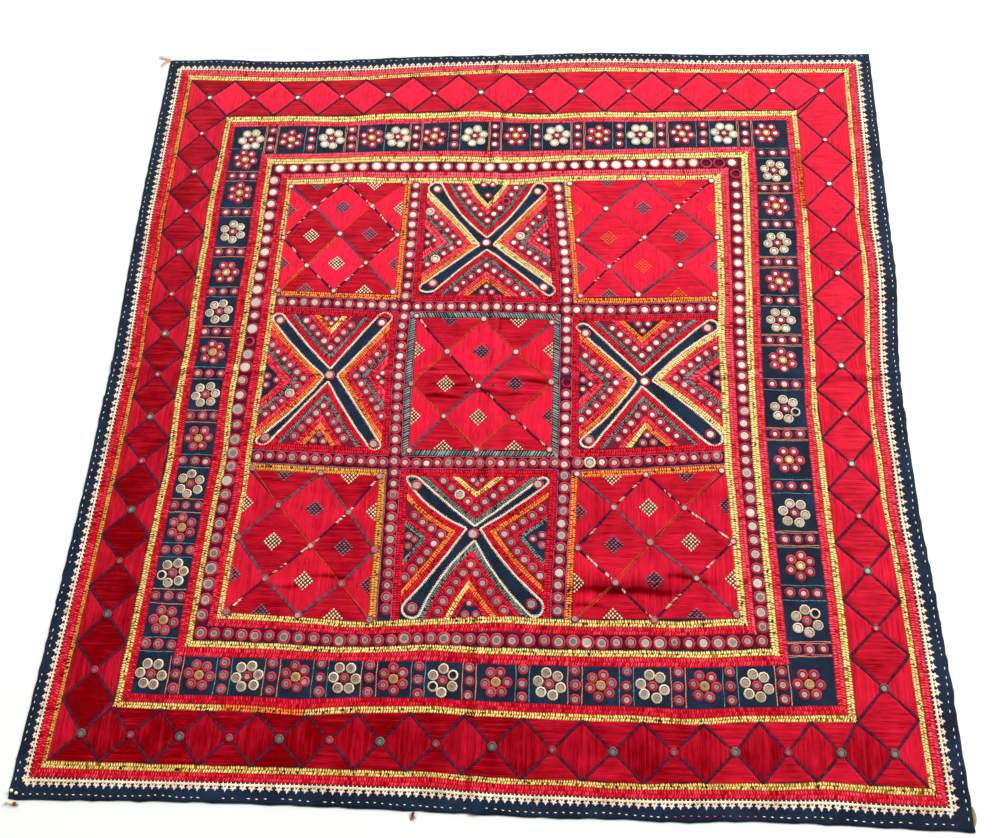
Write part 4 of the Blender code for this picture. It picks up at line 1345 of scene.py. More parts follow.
class HANGING_OT_ground_cloth(HangingOperator):
    """Make the navy cotton ground with its turned edge, creases and puckers"""

    bl_idname = "hanging.ground_cloth"
    bl_label = "Ground cloth"

    def execute(self, context):
        """A grid on the chart, laid on the seams and closed below, in finer rows where it folds. Near its
        edge the face rolls down by a quarter circle."""
        rings = np.array((
            525.0, 524.4, 523.4, 522.0, 519.0, 514.0, 503.0, 493.0, 485.0, 469.0, 453.0, 437.0, 422.0, 413.0,
            404.0, 392.0, 380.0, 368.0, 357.0, 348.0, 339.5, 330.0, 321.5, 312.5, 304.0))
        inside, near = np.arange(-294.0, 295.0, 10.0), np.arange(-14.0, 15.0, 2.0)
        across, ahead = (
            np.unique(np.concatenate([-rings, rings, inside[np.abs(inside - crease) > 17], near + crease]))
            for crease in (UPRIGHT_CREASE, LEVEL_CREASE))
        level = (np.abs(ahead + 268.5) > 34) & (np.abs(ahead + 28) > 14.5)
        folds = np.arange(-301.0, -236.0, 2.5), np.arange(-43.0, -13.0, 2.5)
        ahead = np.unique(np.concatenate([ahead[level], *folds]))
        y, x = np.meshgrid(ahead, across, indexing="ij")
        spots = lay(x, y)
        inset = EDGE - np.maximum(np.abs(x), np.abs(y))
        waver = wander(x + 1.7 * y, 0.9, 47, np.random.default_rng(3)) * (inset < 0.1)
        u = spots[..., 0] + waver * np.sign(x) * (np.abs(x) > 524)
        v = spots[..., 1] + waver * np.sign(y) * (np.abs(y) > 524)
        for spot, bump in ((-55.0, 2.0), (-382.0, 2.4)):
            u = u + bump * np.exp(-(((v - spot) / 7) ** 2)) * (x > 521)
        v = v + 1.8 * np.exp(-(((u - 380.0) / 5) ** 2)) * (y > 521)
        roll = ROLL - np.sqrt(np.clip(ROLL ** 2 - np.clip(ROLL - inset, 0, ROLL) ** 2, 0, None))
        top = place(u, v, ground(u, v) - np.minimum(roll, 1.1))
        low = place(u, v, np.where(inset < 0.1, 0.5, UNDERSIDE))
        rows, columns = x.shape
        quads = sheets_of(1, rows, columns)
        rim = np.concatenate([np.arange(columns), np.arange(1, rows) * columns + columns - 1,
                              (rows - 1) * columns + np.arange(columns - 2, -1, -1),
                              np.arange(rows - 2, 0, -1) * columns])
        after = np.roll(rim, -1)
        count = rows * columns
        wall = np.stack([rim + count, after + count, after, rim], -1)
        pile = Pile()
        thread = np.stack([u, v], -1)
        pile.add(np.stack([top, low]), [quads, quads[:, ::-1] + count, wall], 0.5, np.stack([thread, thread]))
        cotton = woven_cotton("indigo_cotton", linear("#0e1829"), linear("#203a56"))
        cloth = pile.make("ground_cloth_face", cotton, "navy_cotton", replaces=["ground_cloth"])
        SEWN.remove(cloth)
        context.scene["hanging_cloth"] = cloth.name
        return {"FINISHED"}


class HANGING_OT_border_bands(HangingOperator):
    """Sew the rose and yellow bands that ring the field"""

    bl_idname = "hanging.border_bands"
    bl_label = "Border bands"

    def execute(self, context):
        """Each band runs along its side, in parts where it's mended, and has bare spots unless it's
        rose."""
        piles = new_piles("rose", "yellow", "orange", "gold", "plum")
        rng = np.random.default_rng(11)
        for name, thread, *by_side in BORDER_BANDS:
            # The side's tone: painted light, brightest on the back side.
            for side, (outer, inner, tone) in zip(SIDES, by_side):
                edges = side_band(side, outer, inner)
                cuts, threads, tones = MENDED.get((name, side), ((), (thread,), (tone,)))
                at = np.searchsorted(edges[0][:, int(side in UPRIGHT_SIDES)], cuts)
                for used, shade, *part in zip(threads, tones, *(np.split(edge, at) for edge in edges)):
                    sewn_band(piles[used], *part, shade, rng)
                    if used != "rose":
                        bare_spots(piles["plum"], *part, BARE_GAP[side], rng)
        make_pieces("border_bands", piles)
        return {"FINISHED"}


class HANGING_OT_cream_line(HangingOperator):
    """Sew the spiked cream line and the running stitch along the hem"""

    bl_idname = "hanging.cream_line"
    bl_label = "Cream line and running stitch"

    def execute(self, context):
        """On each side, a thick cord of slanting stitches with short pegs inside it and, for each spike,
        two stitches that meet beyond it, two barbs from there and a stitch that tapers to the spike's tip.
        Nearer the edge runs the hem's running stitch."""
        sizes = context.scene.hanging_sizes
        piles = new_piles("cream", "blush", "rose")
        cream, blush = piles["cream"], piles["blush"]
        rng = np.random.default_rng(17)
        for side in SIDES:
            count = int(round(2 * 506.0 / (sizes.spike_pitch / MM)))
            along = np.linspace(-CORD_END, CORD_END, count) + rng.uniform(-0.6, 0.6, count)
            half = CORD_END / (count - 1)
            reach = rng.uniform(3.4, 5.2, count)
            lean = rng.uniform(-0.8, 0.8, count)
            tone = np.clip(0.75 + wander(along, 0.2, 160, rng) + rng.uniform(-0.15, 0.15, count), 0.2, 1)

            def sew(pile, start, end, width, height, shade, **shape):
                """Stitches from and to a shift along the side and an inset, beside each spike's middle."""
                ends = (on_side(side, along + shift, inset) for shift, inset in (start, end))
                stitches(pile, *ends, width, height, shade, **shape)

            for part in (-0.75, -0.25, 0.25, 0.75):
                middle = part * half
                sew(cream, (middle - 2.0, CORD[0]), (middle + 2.0, CORD[1]), 2.4, 0.95,
                    tone + rng.uniform(-0.12, 0.12, count))
            for shift in (-0.5 * half, 0.5 * half):
                sew(cream, (shift - 0.8, PEG[0]), (shift + 0.3, PEG[1]), 1.7, 0.7, tone)
            for turn in (-1, 1):
                sew(cream, (turn * 3.0, SPIKE_FEET), (turn * 0.3, SPIKE_NECK), 1.8, 0.8, tone)
                barb = turn * 3.9 + lean * 0.4, SPIKE_NECK + rng.uniform(-0.6, 0.6, count)
                sew(blush, (lean * 0.4, 509.3), barb, 2.1, 0.8, tone)
            sew(blush, (0.0, 508.0), (lean, 508.8 + reach), 3.0, 1.0, tone + 0.1, profile=SPIKE_STITCH)
            count = int(2 * 512 / (sizes.running_pitch / MM))
            along = np.linspace(-RUNNING_END, RUNNING_END, count) + rng.uniform(-0.8, 0.8, count)
            inset = RUNNING + wander(along, 1.2, 120, rng)
            half = rng.uniform(1.4, 2.1, count)
            start = on_side(side, along - half, inset)
            end = on_side(side, along + half, inset + rng.uniform(-0.4, 0.4, count))
            red = (side == "front") & (start[:, 0] > RED_STRETCH[0]) & (start[:, 0] < RED_STRETCH[1])
            sewn = rng.random(count) > 0.12
            for thread, kept, shade in (("cream", ~red & sewn, 0.85), ("rose", red & sewn, 0.7)):
                stitches(piles[thread], start[kept], end[kept], 1.1, 0.5, shade)
        make_pieces("edge_line", piles)
        return {"FINISHED"}


class HANGING_OT_diamond_border(HangingOperator):
    """Fill the diamond border with satin stitch and outline its diamonds"""

    bl_idname = "hanging.diamond_border"
    bl_label = "Diamond border"

    def execute(self, context):
        """Between two joint mirrors stands a diamond, whose floss runs across the band. Between two
        diamonds stand two triangles, whose floss runs along it. Each corner has its mirror joined to the
        outer corner."""
        satins, lines = new_piles("crimson"), new_piles("plum")
        rng = np.random.default_rng(23)
        wide = context.scene.hanging_sizes.line_width / MM
        outer, inner = DIAMOND_OUTER, DIAMOND_INNER
        for side in SIDES:
            chart, joints = joint_places(side)
            order = np.argsort(chart)
            chart, joints = chart[order], joints[order]
            middle = (chart[1:] + chart[:-1]) / 2
            near = middle.copy()
            for end, corner in ((0, -inner), (-1, inner)):
                if abs(middle[end] - corner) < 9:
                    near[end] = corner
            tops, feet = on_side(side, middle, outer), on_side(side, near, inner)
            across = (1.0, 0.0) if side in UPRIGHT_SIDES else (0.0, 1.0)
            share = (chart + 500) / 1000
            # Painted sheen and shade, by the floss's direction and the side.
            low, high, low_between, high_between = DIAMOND_PAINTED_LIGHT[side]
            for k in range(len(middle)):
                tone = low + (high - low) * share[k] + rng.uniform(-0.07, 0.07)
                satin(satins["crimson"], (joints[k], tops[k], joints[k + 1], feet[k]), across, tone, rng)
            out = on_side(side, [-outer, *middle, outer], outer)
            into = on_side(side, [-inner, *near, inner], inner)
            for k in range(len(joints)):
                tone = low_between + (high_between - low_between) * share[k] + rng.uniform(-0.07, 0.07)
                for first, last in (out[k:k + 2], into[k:k + 2]):
                    if np.hypot(*(last - first)) > 2:
                        satin(satins["crimson"], (first, last, joints[k]), across[::-1], tone, rng)
            paths = []
            for near, far, top, foot in zip(joints, joints[1:], tops, feet):
                paths += [(near, top), (top, far), (near, foot), (foot, far)]
            if side not in UPRIGHT_SIDES:
                paths += [(joints[0], out[0]), (joints[-1], out[-1])]
            for path in paths:
                rope(lines["plum"], path, wide, 0.8, 0.5, rng, lift=0.5)
        make_pieces("diamond_satin", satins)
        make_pieces("diamond_lines", lines)
        return {"FINISHED"}


class HANGING_OT_squares(HangingOperator):
    """Fill the five lattice squares with satin stitch, lines and dots"""

    bl_idname = "hanging.squares"
    bl_label = "Lattice squares"

    def execute(self, context):
        """Each square has four full cells and eight half cells. Cells in front of and behind the centre
        have upright floss, and those beside it have level floss. A half cell's floss runs away from the
        square's edge."""
        satins = new_piles("crimson")
        lines = new_piles("plum", "grey", "orange", "brown", "peach")
        dots = new_piles("cream", "slate", "brown", "rust", "wine")
        rng = np.random.default_rng(29)
        upright, level = (0.0, 1.0), (1.0, 0.0)
        for name, places in SQUARE_PLACES.items():
            spots = np.array(places, float)
            left, right, front, back = SQUARE_CHARTS[name]
            bl, br, fl, fr = (lay(x, y) for y in (back, front) for x in (left, right))
            sides = ((bl, br), (bl, fl), (br, fr), (fl, fr))
            mb, ml, mr, mf = (nearest_on(*side, spot) for side, spot in zip(sides, spots[4:8]))
            centre, qbl, qbr, qfl, qfr = spots[8:]
            cells = (((mb, qbr, centre, qbl), upright), ((ml, qbl, centre, qfl), level),
                     ((mr, qbr, centre, qfr), level), ((mf, qfr, centre, qfl), upright))
            halves = (((bl, mb, qbl), level), ((mb, br, qbr), level), ((br, mr, qbr), upright),
                      ((mr, fr, qfr), upright), ((fr, mf, qfr), level), ((mf, fl, qfl), level),
                      ((fl, ml, qfl), upright), ((ml, bl, qbl), upright))
            for corners, way in (*cells, *halves):
                # Painted sheen and shade by the floss's direction.
                tone = SQUARE_PAINTED_LIGHT[name][way == level] + rng.uniform(-0.06, 0.06)
                satin(satins["crimson"], corners, way, tone, rng)
            falling, rising, inscribed, cell_dots, half_dots = SQUARE_THREADS[name]
            for thread, path in ((falling, (spots[0], qbl, centre, qfr, spots[3])),
                                 (rising, (spots[1], qbr, centre, qfl, spots[2])),
                                 (inscribed, (spots[4], qbr, spots[6], qfr, spots[7], qfl, spots[5], qbl,
                                              spots[4]))):
                couch(lines, name, thread, path, rng)
            # Painted light: dots of the back squares, and their wine bases, are painted brighter.
            light = 0.3 if name.startswith("back") else 0.0
            for (corners, way), letter in zip(cells, cell_dots):
                dot_patch(dots, letter, np.mean(corners, 0), None, light, rng)
            for (corners, way), letter in zip(halves, half_dots):
                edge = (corners[0] + corners[1]) / 2
                inward = (corners[2] - edge) * way[::-1]
                dot_patch(dots, letter, edge, unit(inward), light, rng)
        make_pieces("square_satin", satins)
        make_pieces("square_lines", lines)
        make_pieces("square_dots", dots)
        return {"FINISHED"}


def couch(lines, square, thread, path, rng):
    """One of a square's lines: a thick grey or dashed one, or a thin one, doubled in some squares."""
    wide = {"grey": 4.3, "dashed": 4.0}.get(thread, 1.3)
    dashes = SQUARE_DASHES[square] if thread == "dashed" else None
    for number, (a, b) in enumerate(zip(path[:-1], path[1:])):
        own = "plum" if thread == "dashed" else thread
        if thread == "orange" and not (square == "back_left" and number > 1):
            own = "brown"
        single = wide > 2 or own == "brown" and square in ("back_left", "back_right", "front_left")
        aside = right_of(unit(b - a)) * 1.1
        for shift in (0.0,) if single else (-1.0, 1.0):
            rope(lines[own], (a + aside * shift, b + aside * shift), wide, 0.8, 0.42, rng, lift=0.5,
                 dashes=dashes, dash_pile=lines["peach"])


def dot_patch(piles, letter, centre, inward, light, rng):
    """A diamond of small raised dots, five by five and turned by 45 degrees, over a darker base, or its
    inner half beside an edge. The light argument adds painted light to the dots and to a wine base."""
    thread, base, base_tone, half, width = DOTS[letter]
    a, b = np.meshgrid(np.arange(-2, 3), np.arange(-2, 3))
    offset = np.stack([a + b, a - b], -1).reshape(-1, 2) * (DOT_STEP * math.sqrt(0.5))
    outline = PATCH_REACH * np.array(((0.0, 1.0), (1.0, 0.0), (0.0, -1.0), (-1.0, 0.0)))
    way = np.array((0.0, 1.0))
    if inward is not None:
        offset = offset[offset @ inward > -0.5] + inward * 1.5
        outline = outline[outline @ inward > -0.6] + inward * 0.8
        way = np.abs(np.round(inward)) + 1e-9
    if base:
        # Painted light on a wine base.
        base_tone += 2 * light * (base == "wine")
        satin(piles[base], centre + outline, way, base_tone, rng, lift=0.62, height=0.3)
    spots = centre + offset + rng.uniform(-0.3, 0.3, offset.shape)
    # Painted light on the dots.
    tone = rng.uniform(0.55, 1.0, len(spots)) + light
    stitches(piles[thread], spots - half, spots + half, width, 1.1, tone, lift=1.0, painted_shade=0.6)


class HANGING_OT_frames(HangingOperator):
    """Sew the bands that frame the squares and stars"""

    bl_idname = "hanging.frames"
    bl_label = "Frames of the patches"

    def execute(self, context):
        """A patch's frame runs along each strip of mirrors beside it, with a mitre where two bands meet.
        Below every run of mirrors lies a padding of wine thread."""
        piles = new_piles("scarlet", "yellow", "orange", "gold", "sage", "mauve", "wine", "plum")
        rng = np.random.default_rng(31)
        for name, threads in FRAME_THREADS.items():
            inner = SQUARE_CHARTS.get(name) or STAR_CHARTS[name]
            wide = SQUARE_FRAME if name in SQUARE_CHARTS else STAR_FRAME
            outer = [edge + sign * wide * bool(thread)
                     for edge, sign, thread in zip(inner, (-1, 1, -1, 1), threads)]
            for side, thread in enumerate(threads):
                if not thread:
                    continue
                upright = side < 2
                beside = slice(2, 4) if upright else slice(0, 2)
                edges = chart_band(upright, outer[side], inner[side], *outer[beside], threads[beside])
                tone = {"scarlet": 0.5, "sage": 0.42, "orange": 0.98, "gold": 0.72}.get(thread, 0.6)
                for edge, other in (edges, edges[::-1]) if thread == "sage" else (edges,):
                    rope(piles["mauve"], edge + (edge - other) * 0.1, 1.5, 0.7, 0.5, rng, pitch=3.4)
                if thread == "sage":
                    slanting_band(piles[thread], *edges, tone, rng)
                elif thread == "split":
                    turn = np.searchsorted(edges[0][:, 1], 235.0)
                    sewn_band(piles["orange"], *(edge[:turn] for edge in edges), 0.95, rng)
                    sewn_band(piles["yellow"], *(edge[turn:] for edge in edges), 0.8, rng)
                else:
                    sewn_band(piles[thread], *edges, tone, rng)
                    if thread != "scarlet":
                        bare_spots(piles["plum"], *edges, 8.0, rng)
        for direction, strip, *rest in STRIP_RUNS:
            upright = direction == "upright"
            band = chart_band(upright, strip - STRIP_HALF, strip + STRIP_HALF, -STRIP_END, STRIP_END)
            padding(piles["wine"], *band, 0.15, UPRIGHT_PADDING if upright else LEVEL_PADDING)
        for side in SIDES:
            padding(piles["wine"], *side_band(side, *MIRROR_BAND), 0.25,
                    UPRIGHT_PADDING if side in UPRIGHT_SIDES else LEVEL_PADDING)
        make_pieces("patch_frames", piles)
        return {"FINISHED"}


class HANGING_OT_stars(HangingOperator):
    """Sew the four star crosses: cream-edged arms and the chevrons between them"""

    bl_idname = "hanging.stars"
    bl_label = "Star crosses"

    def execute(self, context):
        """Bands follow each quarter's cream edge, and the other pieces are the arms' outlines."""
        bands = new_piles("rose", "scarlet", "yellow", "orange", "grey_green", "wine")
        edges = new_piles("cream", "blush")
        rng = np.random.default_rng(37)
        tones = {"scarlet": 0.5, "yellow": 0.85, "orange": 0.7, "grey_green": 0.68}
        for name, (centre, *ends) in STAR_PLACES.items():
            outlines = {}
            for quarter, letters in zip(STAR_EDGES[name], CHEVRON_THREADS[name]):
                label, apex, *points = quarter
                for arm, at in zip(ARM_PAIRS[label], (0, 2)):
                    outlines.setdefault(arm, []).append(bent_leg(apex, *points[at:at + 2])[1:-1])
                for thread, low, high in bands_of(name, label):
                    near, far = chevron(name, quarter, low), chevron(name, quarter, high)
                    if near is None or far is None:
                        continue
                    for letter, edge, other in zip(letters, near, far):
                        if thread == "mirrors":
                            padding(bands["wine"], edge, other, 0.65, LEVEL_PADDING)
                            continue
                        used = {"y": "yellow", "o": "orange"}[letter] if thread == "bright" else thread
                        # The star's rose tone is painted light.
                        sewn_band(bands[used], edge, other, tones.get(used, STAR_ROSE[name]), rng, 0.8, 0.02)
            for first, second in outlines.values():
                edge_arm(edges, np.array(centre, float), first, second, rng)
        make_pieces("star_chevrons", bands)
        make_pieces("star_edges", edges)
        return {"FINISHED"}


def edge_arm(piles, centre, first, second, rng):
    """The outline of a star's arm: up one edge from its inner point, round the arm's end on a cubic curve,
    and back down the other. Teeth of blanket stitch stand on it, pointing into the arm."""
    reach = 0.73 * np.hypot(*(second[-1] - first[-1]))
    grip, other_grip = (leg[-1] + unit(leg[-1] - leg[-2]) * reach for leg in (first, second))
    t = np.linspace(0, 1, 18)[1:-1, None]
    cap = (1 - t) ** 3 * first[-1] + 3 * t * (1 - t) ** 2 * grip + 3 * t ** 2 * (1 - t) * other_grip \
        + t ** 3 * second[-1]
    path = np.concatenate([first, cap, second[::-1]])
    travel = travel_of(path)
    at = np.arange(0.6, travel[-1] - 0.4, 2.3)
    spot = spots_at(path, travel, at)
    off = right_of(unit(spots_at(path, travel, at + 0.3) - spot))
    axis = (first[-1] + second[-1]) / 2 - centre
    share = np.clip((spot - centre) @ axis / (axis @ axis), 0, 1)
    off = off * np.sign(np.sum(off * (centre + axis * share[:, None] - spot), 1) + 1e-9)[:, None]
    tooth = 2.3 + rng.uniform(-0.5, 0.5, len(at))
    stitches(piles["blush"], spot - off * 1.5, spot + off * tooth[:, None], 1.3, 0.75,
             rng.uniform(0.4, 0.9, len(at)), lift=0.05)
    rope(piles["cream"], path, 2.9, 1.0, 0.75, rng, pitch=3.0)


class HANGING_OT_flower_bars(HangingOperator):
    """Sew the pairs of thin lines beside the bars of the flower band"""

    bl_idname = "hanging.flower_bars"
    bl_label = "Flower band lines"

    def execute(self, context):
        """Beside a bar stand a coral line or pair of lines, or a teal line, at each end. A single teal line
        has no mirrors."""
        piles = new_piles("coral", "teal")
        rng = np.random.default_rng(41)
        for side in SIDES:
            bars = FLOWER_RUNS[side][2]
            for number, centre, inward, chart in flower_items(side)[1::2]:
                letter = bars[number // 2]
                thread = "coral" if letter == "o" else "teal"
                single = letter == "o" and side in ("front", "left")
                wide, tone = {"teal": (1.2, 0.5), "coral": (1.4, 0.55) if single else (0.95, 0.8)}[thread]
                letter = "t" if single else letter
                shifts = {"s": (0.0,), "t": (-8.2, 8.2), "o": (-8.9, -7.1, 7.1, 8.9)}[letter]
                for shift in np.array(shifts) + np.sign(shifts) * (side == "back"):
                    ends = [on_side(side, chart + shift, inset) for inset in FLOWER_LINE_ENDS]
                    rope(piles[thread], ends, wide, 0.5, tone, rng, pitch=3.6)
        make_pieces("flower_lines", piles)
        return {"FINISHED"}


class HANGING_OT_mirrors(HangingOperator):
    """Lay the mirrors and sew their rings"""

    bl_idname = "hanging.mirrors"
    bl_label = "Mirrors and rings"

    def execute(self, context):
        """The frame's own mirrors, at the joints of the diamond border, get the clear glass and rings as
        well."""
        rng = np.random.default_rng(43)
        rows = ring_mirrors()
        glass = {"clear": mirror_glass("silvered_glass", 0.02, "#b58a76"),
                 "crazed": mirror_glass("crazed_silvered_glass", 0.20, "#9c8a58"),
                 "worn": mirror_glass("worn_silvered_glass", 0.24, "#94403c")}
        for state, finish in glass.items():
            lay_glass(state, finish, [row for row in rows if row[6] == state], rng)
        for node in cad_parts.values():
            if node.name.startswith("mirror_"):
                for material_slot in node.material_slots:
                    material_slot.material = glass["clear"]
        for side in SIDES:
            spots = joint_places(side)[1]
            for number, spot in enumerate(spots):
                corner = number in (0, len(spots) - 1)
                if corner and side in UPRIGHT_SIDES:
                    continue
                if number % 2 and not corner:
                    rows.append(mirror(*spot, 2.3, 4.6, 0.9, "raspberry", "joint"))
                else:
                    rows.append(mirror(*spot, 2.9, 5.4, 0.9, "dark_grey", "joint"))
        # Each ring's inner edge: partly a darker thread, partly painted shade next to the glass.
        inner = {"raspberry": "#6a1426", "cream": "#6e3a2c", "gold": "#9c4a24", "dark_grey": "#33302f"}
        for thread, inner_thread_and_shade in inner.items():
            sew_rings(thread, linear(inner_thread_and_shade), [row for row in rows if row[5] == thread], rng)
        return {"FINISHED"}


def columns_of(rows):
    """Places, radii of the glass and ring, and lifts of some mirrors, as arrays."""
    return (np.array([row[i] for row in rows], float) for i in range(5))


def lay_glass(state, finish, rows, rng):
    """Mirrors of one state: each is a disc of twelve uneven sides, a little tilted."""
    u, v, radius, ring, lift = columns_of(rows)
    angle = np.arange(GLASS_SIDES) * 2 * math.pi / GLASS_SIDES
    reach = np.minimum(radius + 0.9, ring - 0.6)
    flat = [reach[:, None] * wave * rng.uniform(0.97, 1.03, (len(u), GLASS_SIDES))
            for wave in (np.cos(angle), np.sin(angle))]
    tilt = rng.normal(0, 0.035, (2, len(u), 1))
    base = (ground(u, v) + lift)[:, None]
    height = bpy.context.scene.hanging_sizes.glass_thickness / MM
    top = base + height + np.clip(tilt[0] * flat[0] + tilt[1] * flat[1], -0.5, 0.5)
    levels = np.stack([place(u[:, None] + flat[0], v[:, None] + flat[1], level)
                       for level in (np.broadcast_to(base, top.shape), top)], 1)
    thread = np.broadcast_to((np.stack(flat, -1) / reach[:, None, None])[:, None], (*levels.shape[:3], 2))
    tone = np.broadcast_to(rng.uniform(0, 1, len(u))[:, None, None], levels.shape[:3])
    pile = Pile()
    pile.add(levels, [sheets_of(len(u), 2, GLASS_SIDES, True), caps_of(len(u), 2, GLASS_SIDES)], tone, thread)
    pile.make(f"mirrors_{state}", finish, "mirror_glass", smooth=False)


def sew_rings(thread, inner_thread_and_shade, rows, rng):
    """Rings of one thread. Each is a stitched roll: it climbs from the cloth, rounds over and comes down on
    the glass, with a small rise at every other one of its stations. A joint's ring stands higher."""
    sizes = bpy.context.scene.hanging_sizes
    u, v, radius, ring, lift = columns_of(rows)
    joint = np.array([row[6] == "joint" for row in rows])
    angle = -np.arange(RING_STATIONS) * 2 * math.pi / RING_STATIONS
    spans = np.stack([ring, ring - 0.30 * (ring - radius), radius + 0.35 * (ring - radius), radius], 1)
    high = sizes.ring_height / MM
    on_glass = sizes.glass_thickness / MM + 0.05
    up = np.array((-0.1, 0.80 * high, high, on_glass)) + joint[:, None] * np.array((-0.9, 0.2, 0.35, 0.05))
    spin = rng.uniform(0, 1, (len(u), 1, 1))
    knob = np.where(np.arange(RING_STATIONS) % 2 == 0, 1.0, -1.0)
    wide = spans[:, :, None] * (1 + 0.022 * knob * np.array((1.0, 0.6, 0.3, 0.5))[:, None]
                                + 0.03 * rng.uniform(-1, 1, (len(u), 4, RING_STATIONS)))
    turn = angle + spin
    flat_u, flat_v = u[:, None, None] + wide * np.cos(turn), v[:, None, None] + wide * np.sin(turn)
    tall = up[:, :, None] + 0.09 * knob * np.array((0.0, 1.0, 0.8, 0.1))[:, None]
    z = (ground(u, v) + lift)[:, None, None] + tall
    inwards = np.array((0.0, 0.3, 0.65, 1.0))[:, None]
    thread_at = np.broadcast_arrays(inwards, np.abs(angle) * ring[:, None, None], z)[:2]
    tone = np.broadcast_to(rng.uniform(0.35, 0.8, len(u))[:, None, None], z.shape)
    pile = Pile(thread)
    pile.add(place(flat_u, flat_v, z), [sheets_of(len(u), 4, RING_STATIONS, True)[:, ::-1]], tone,
             np.stack(thread_at, -1))
    deep, bright = (linear(shade) for shade in DYES[thread][:2])
    pile.make(f"mirror_rings_{thread}", ring_floss(f"buttonhole_floss_{thread}", deep, bright, inner_thread_and_shade))


def strands(pile, root, headings, lengths, radius, tone, rng, curl=0.5):
    """Loose threads: each is a five-sided tube that leaves its root along its heading, bends by a slow curl
    and tapers to its tip, lying on the surface."""
    count, rows, sides = len(headings), 9, 5
    share = np.linspace(0, 1, rows)
    turn = np.radians(headings)[:, None] + curl * rng.uniform(-1, 1, (count, 1)) * share ** 1.3
    step = lengths[:, None] / (rows - 1)
    path = [start + rng.uniform(-1, 1, (count, 1)) + np.cumsum(wave * step, 1) - wave[:, :1] * step
            for start, wave in zip(root, (np.cos(turn), np.sin(turn)))]
    thick = (radius * (1 - 0.6 * share) * np.ones((count, 1)))[..., None]
    rise = thick + (rng.uniform(0.1, 1.3, (count, 1)) * np.sin(math.pi * (0.25 + 0.75 * share)))[..., None]
    angle = np.arange(sides) * 2 * math.pi / sides
    u = path[0][..., None] - thick * np.cos(angle) * np.sin(turn)[..., None]
    v = path[1][..., None] + thick * np.cos(angle) * np.cos(turn)[..., None]
    z = rise + thick * np.sin(angle)
    thread = np.stack(np.broadcast_arrays((lengths[:, None] * share)[..., None], thick * angle), -1)
    tone = np.broadcast_to(np.asarray(tone)[:, None, None], u.shape)
    pile.add(place(u, v, z), tubes_of(count, rows, sides), tone, thread)


def knot(pile, centre, radius, tone):
    """A knot of thread: a ball whose surface swells and dips on a slanting wave, like a thread wound on
    itself."""
    rows, sides = 9, 14
    tilt = np.linspace(0.12, math.pi - 0.12, rows)[:, None]
    turn = (np.arange(sides) * 2 * math.pi / sides)[None]
    reach = radius * (1 + 0.09 * np.sin(4 * turn + 5 * tilt))
    u = centre[0] + reach * np.sin(tilt) * np.cos(turn)
    v = centre[1] + reach * np.sin(tilt) * np.sin(turn)
    z = centre[2] + reach * np.cos(tilt) * 0.92
    thread = np.stack(np.broadcast_arrays(tilt * radius, turn * radius), -1)
    pile.add(place(u, v, np.maximum(z, 0.05)), tubes_of(1, rows, sides), tone, thread)


def box_of(node):
    """Both corners of a frame node's box, in the cloth's millimetres."""
    return [np.array(corner) / MM + (BOX_CENTRE_U, BOX_CENTRE_V, 0.0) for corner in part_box(node)]


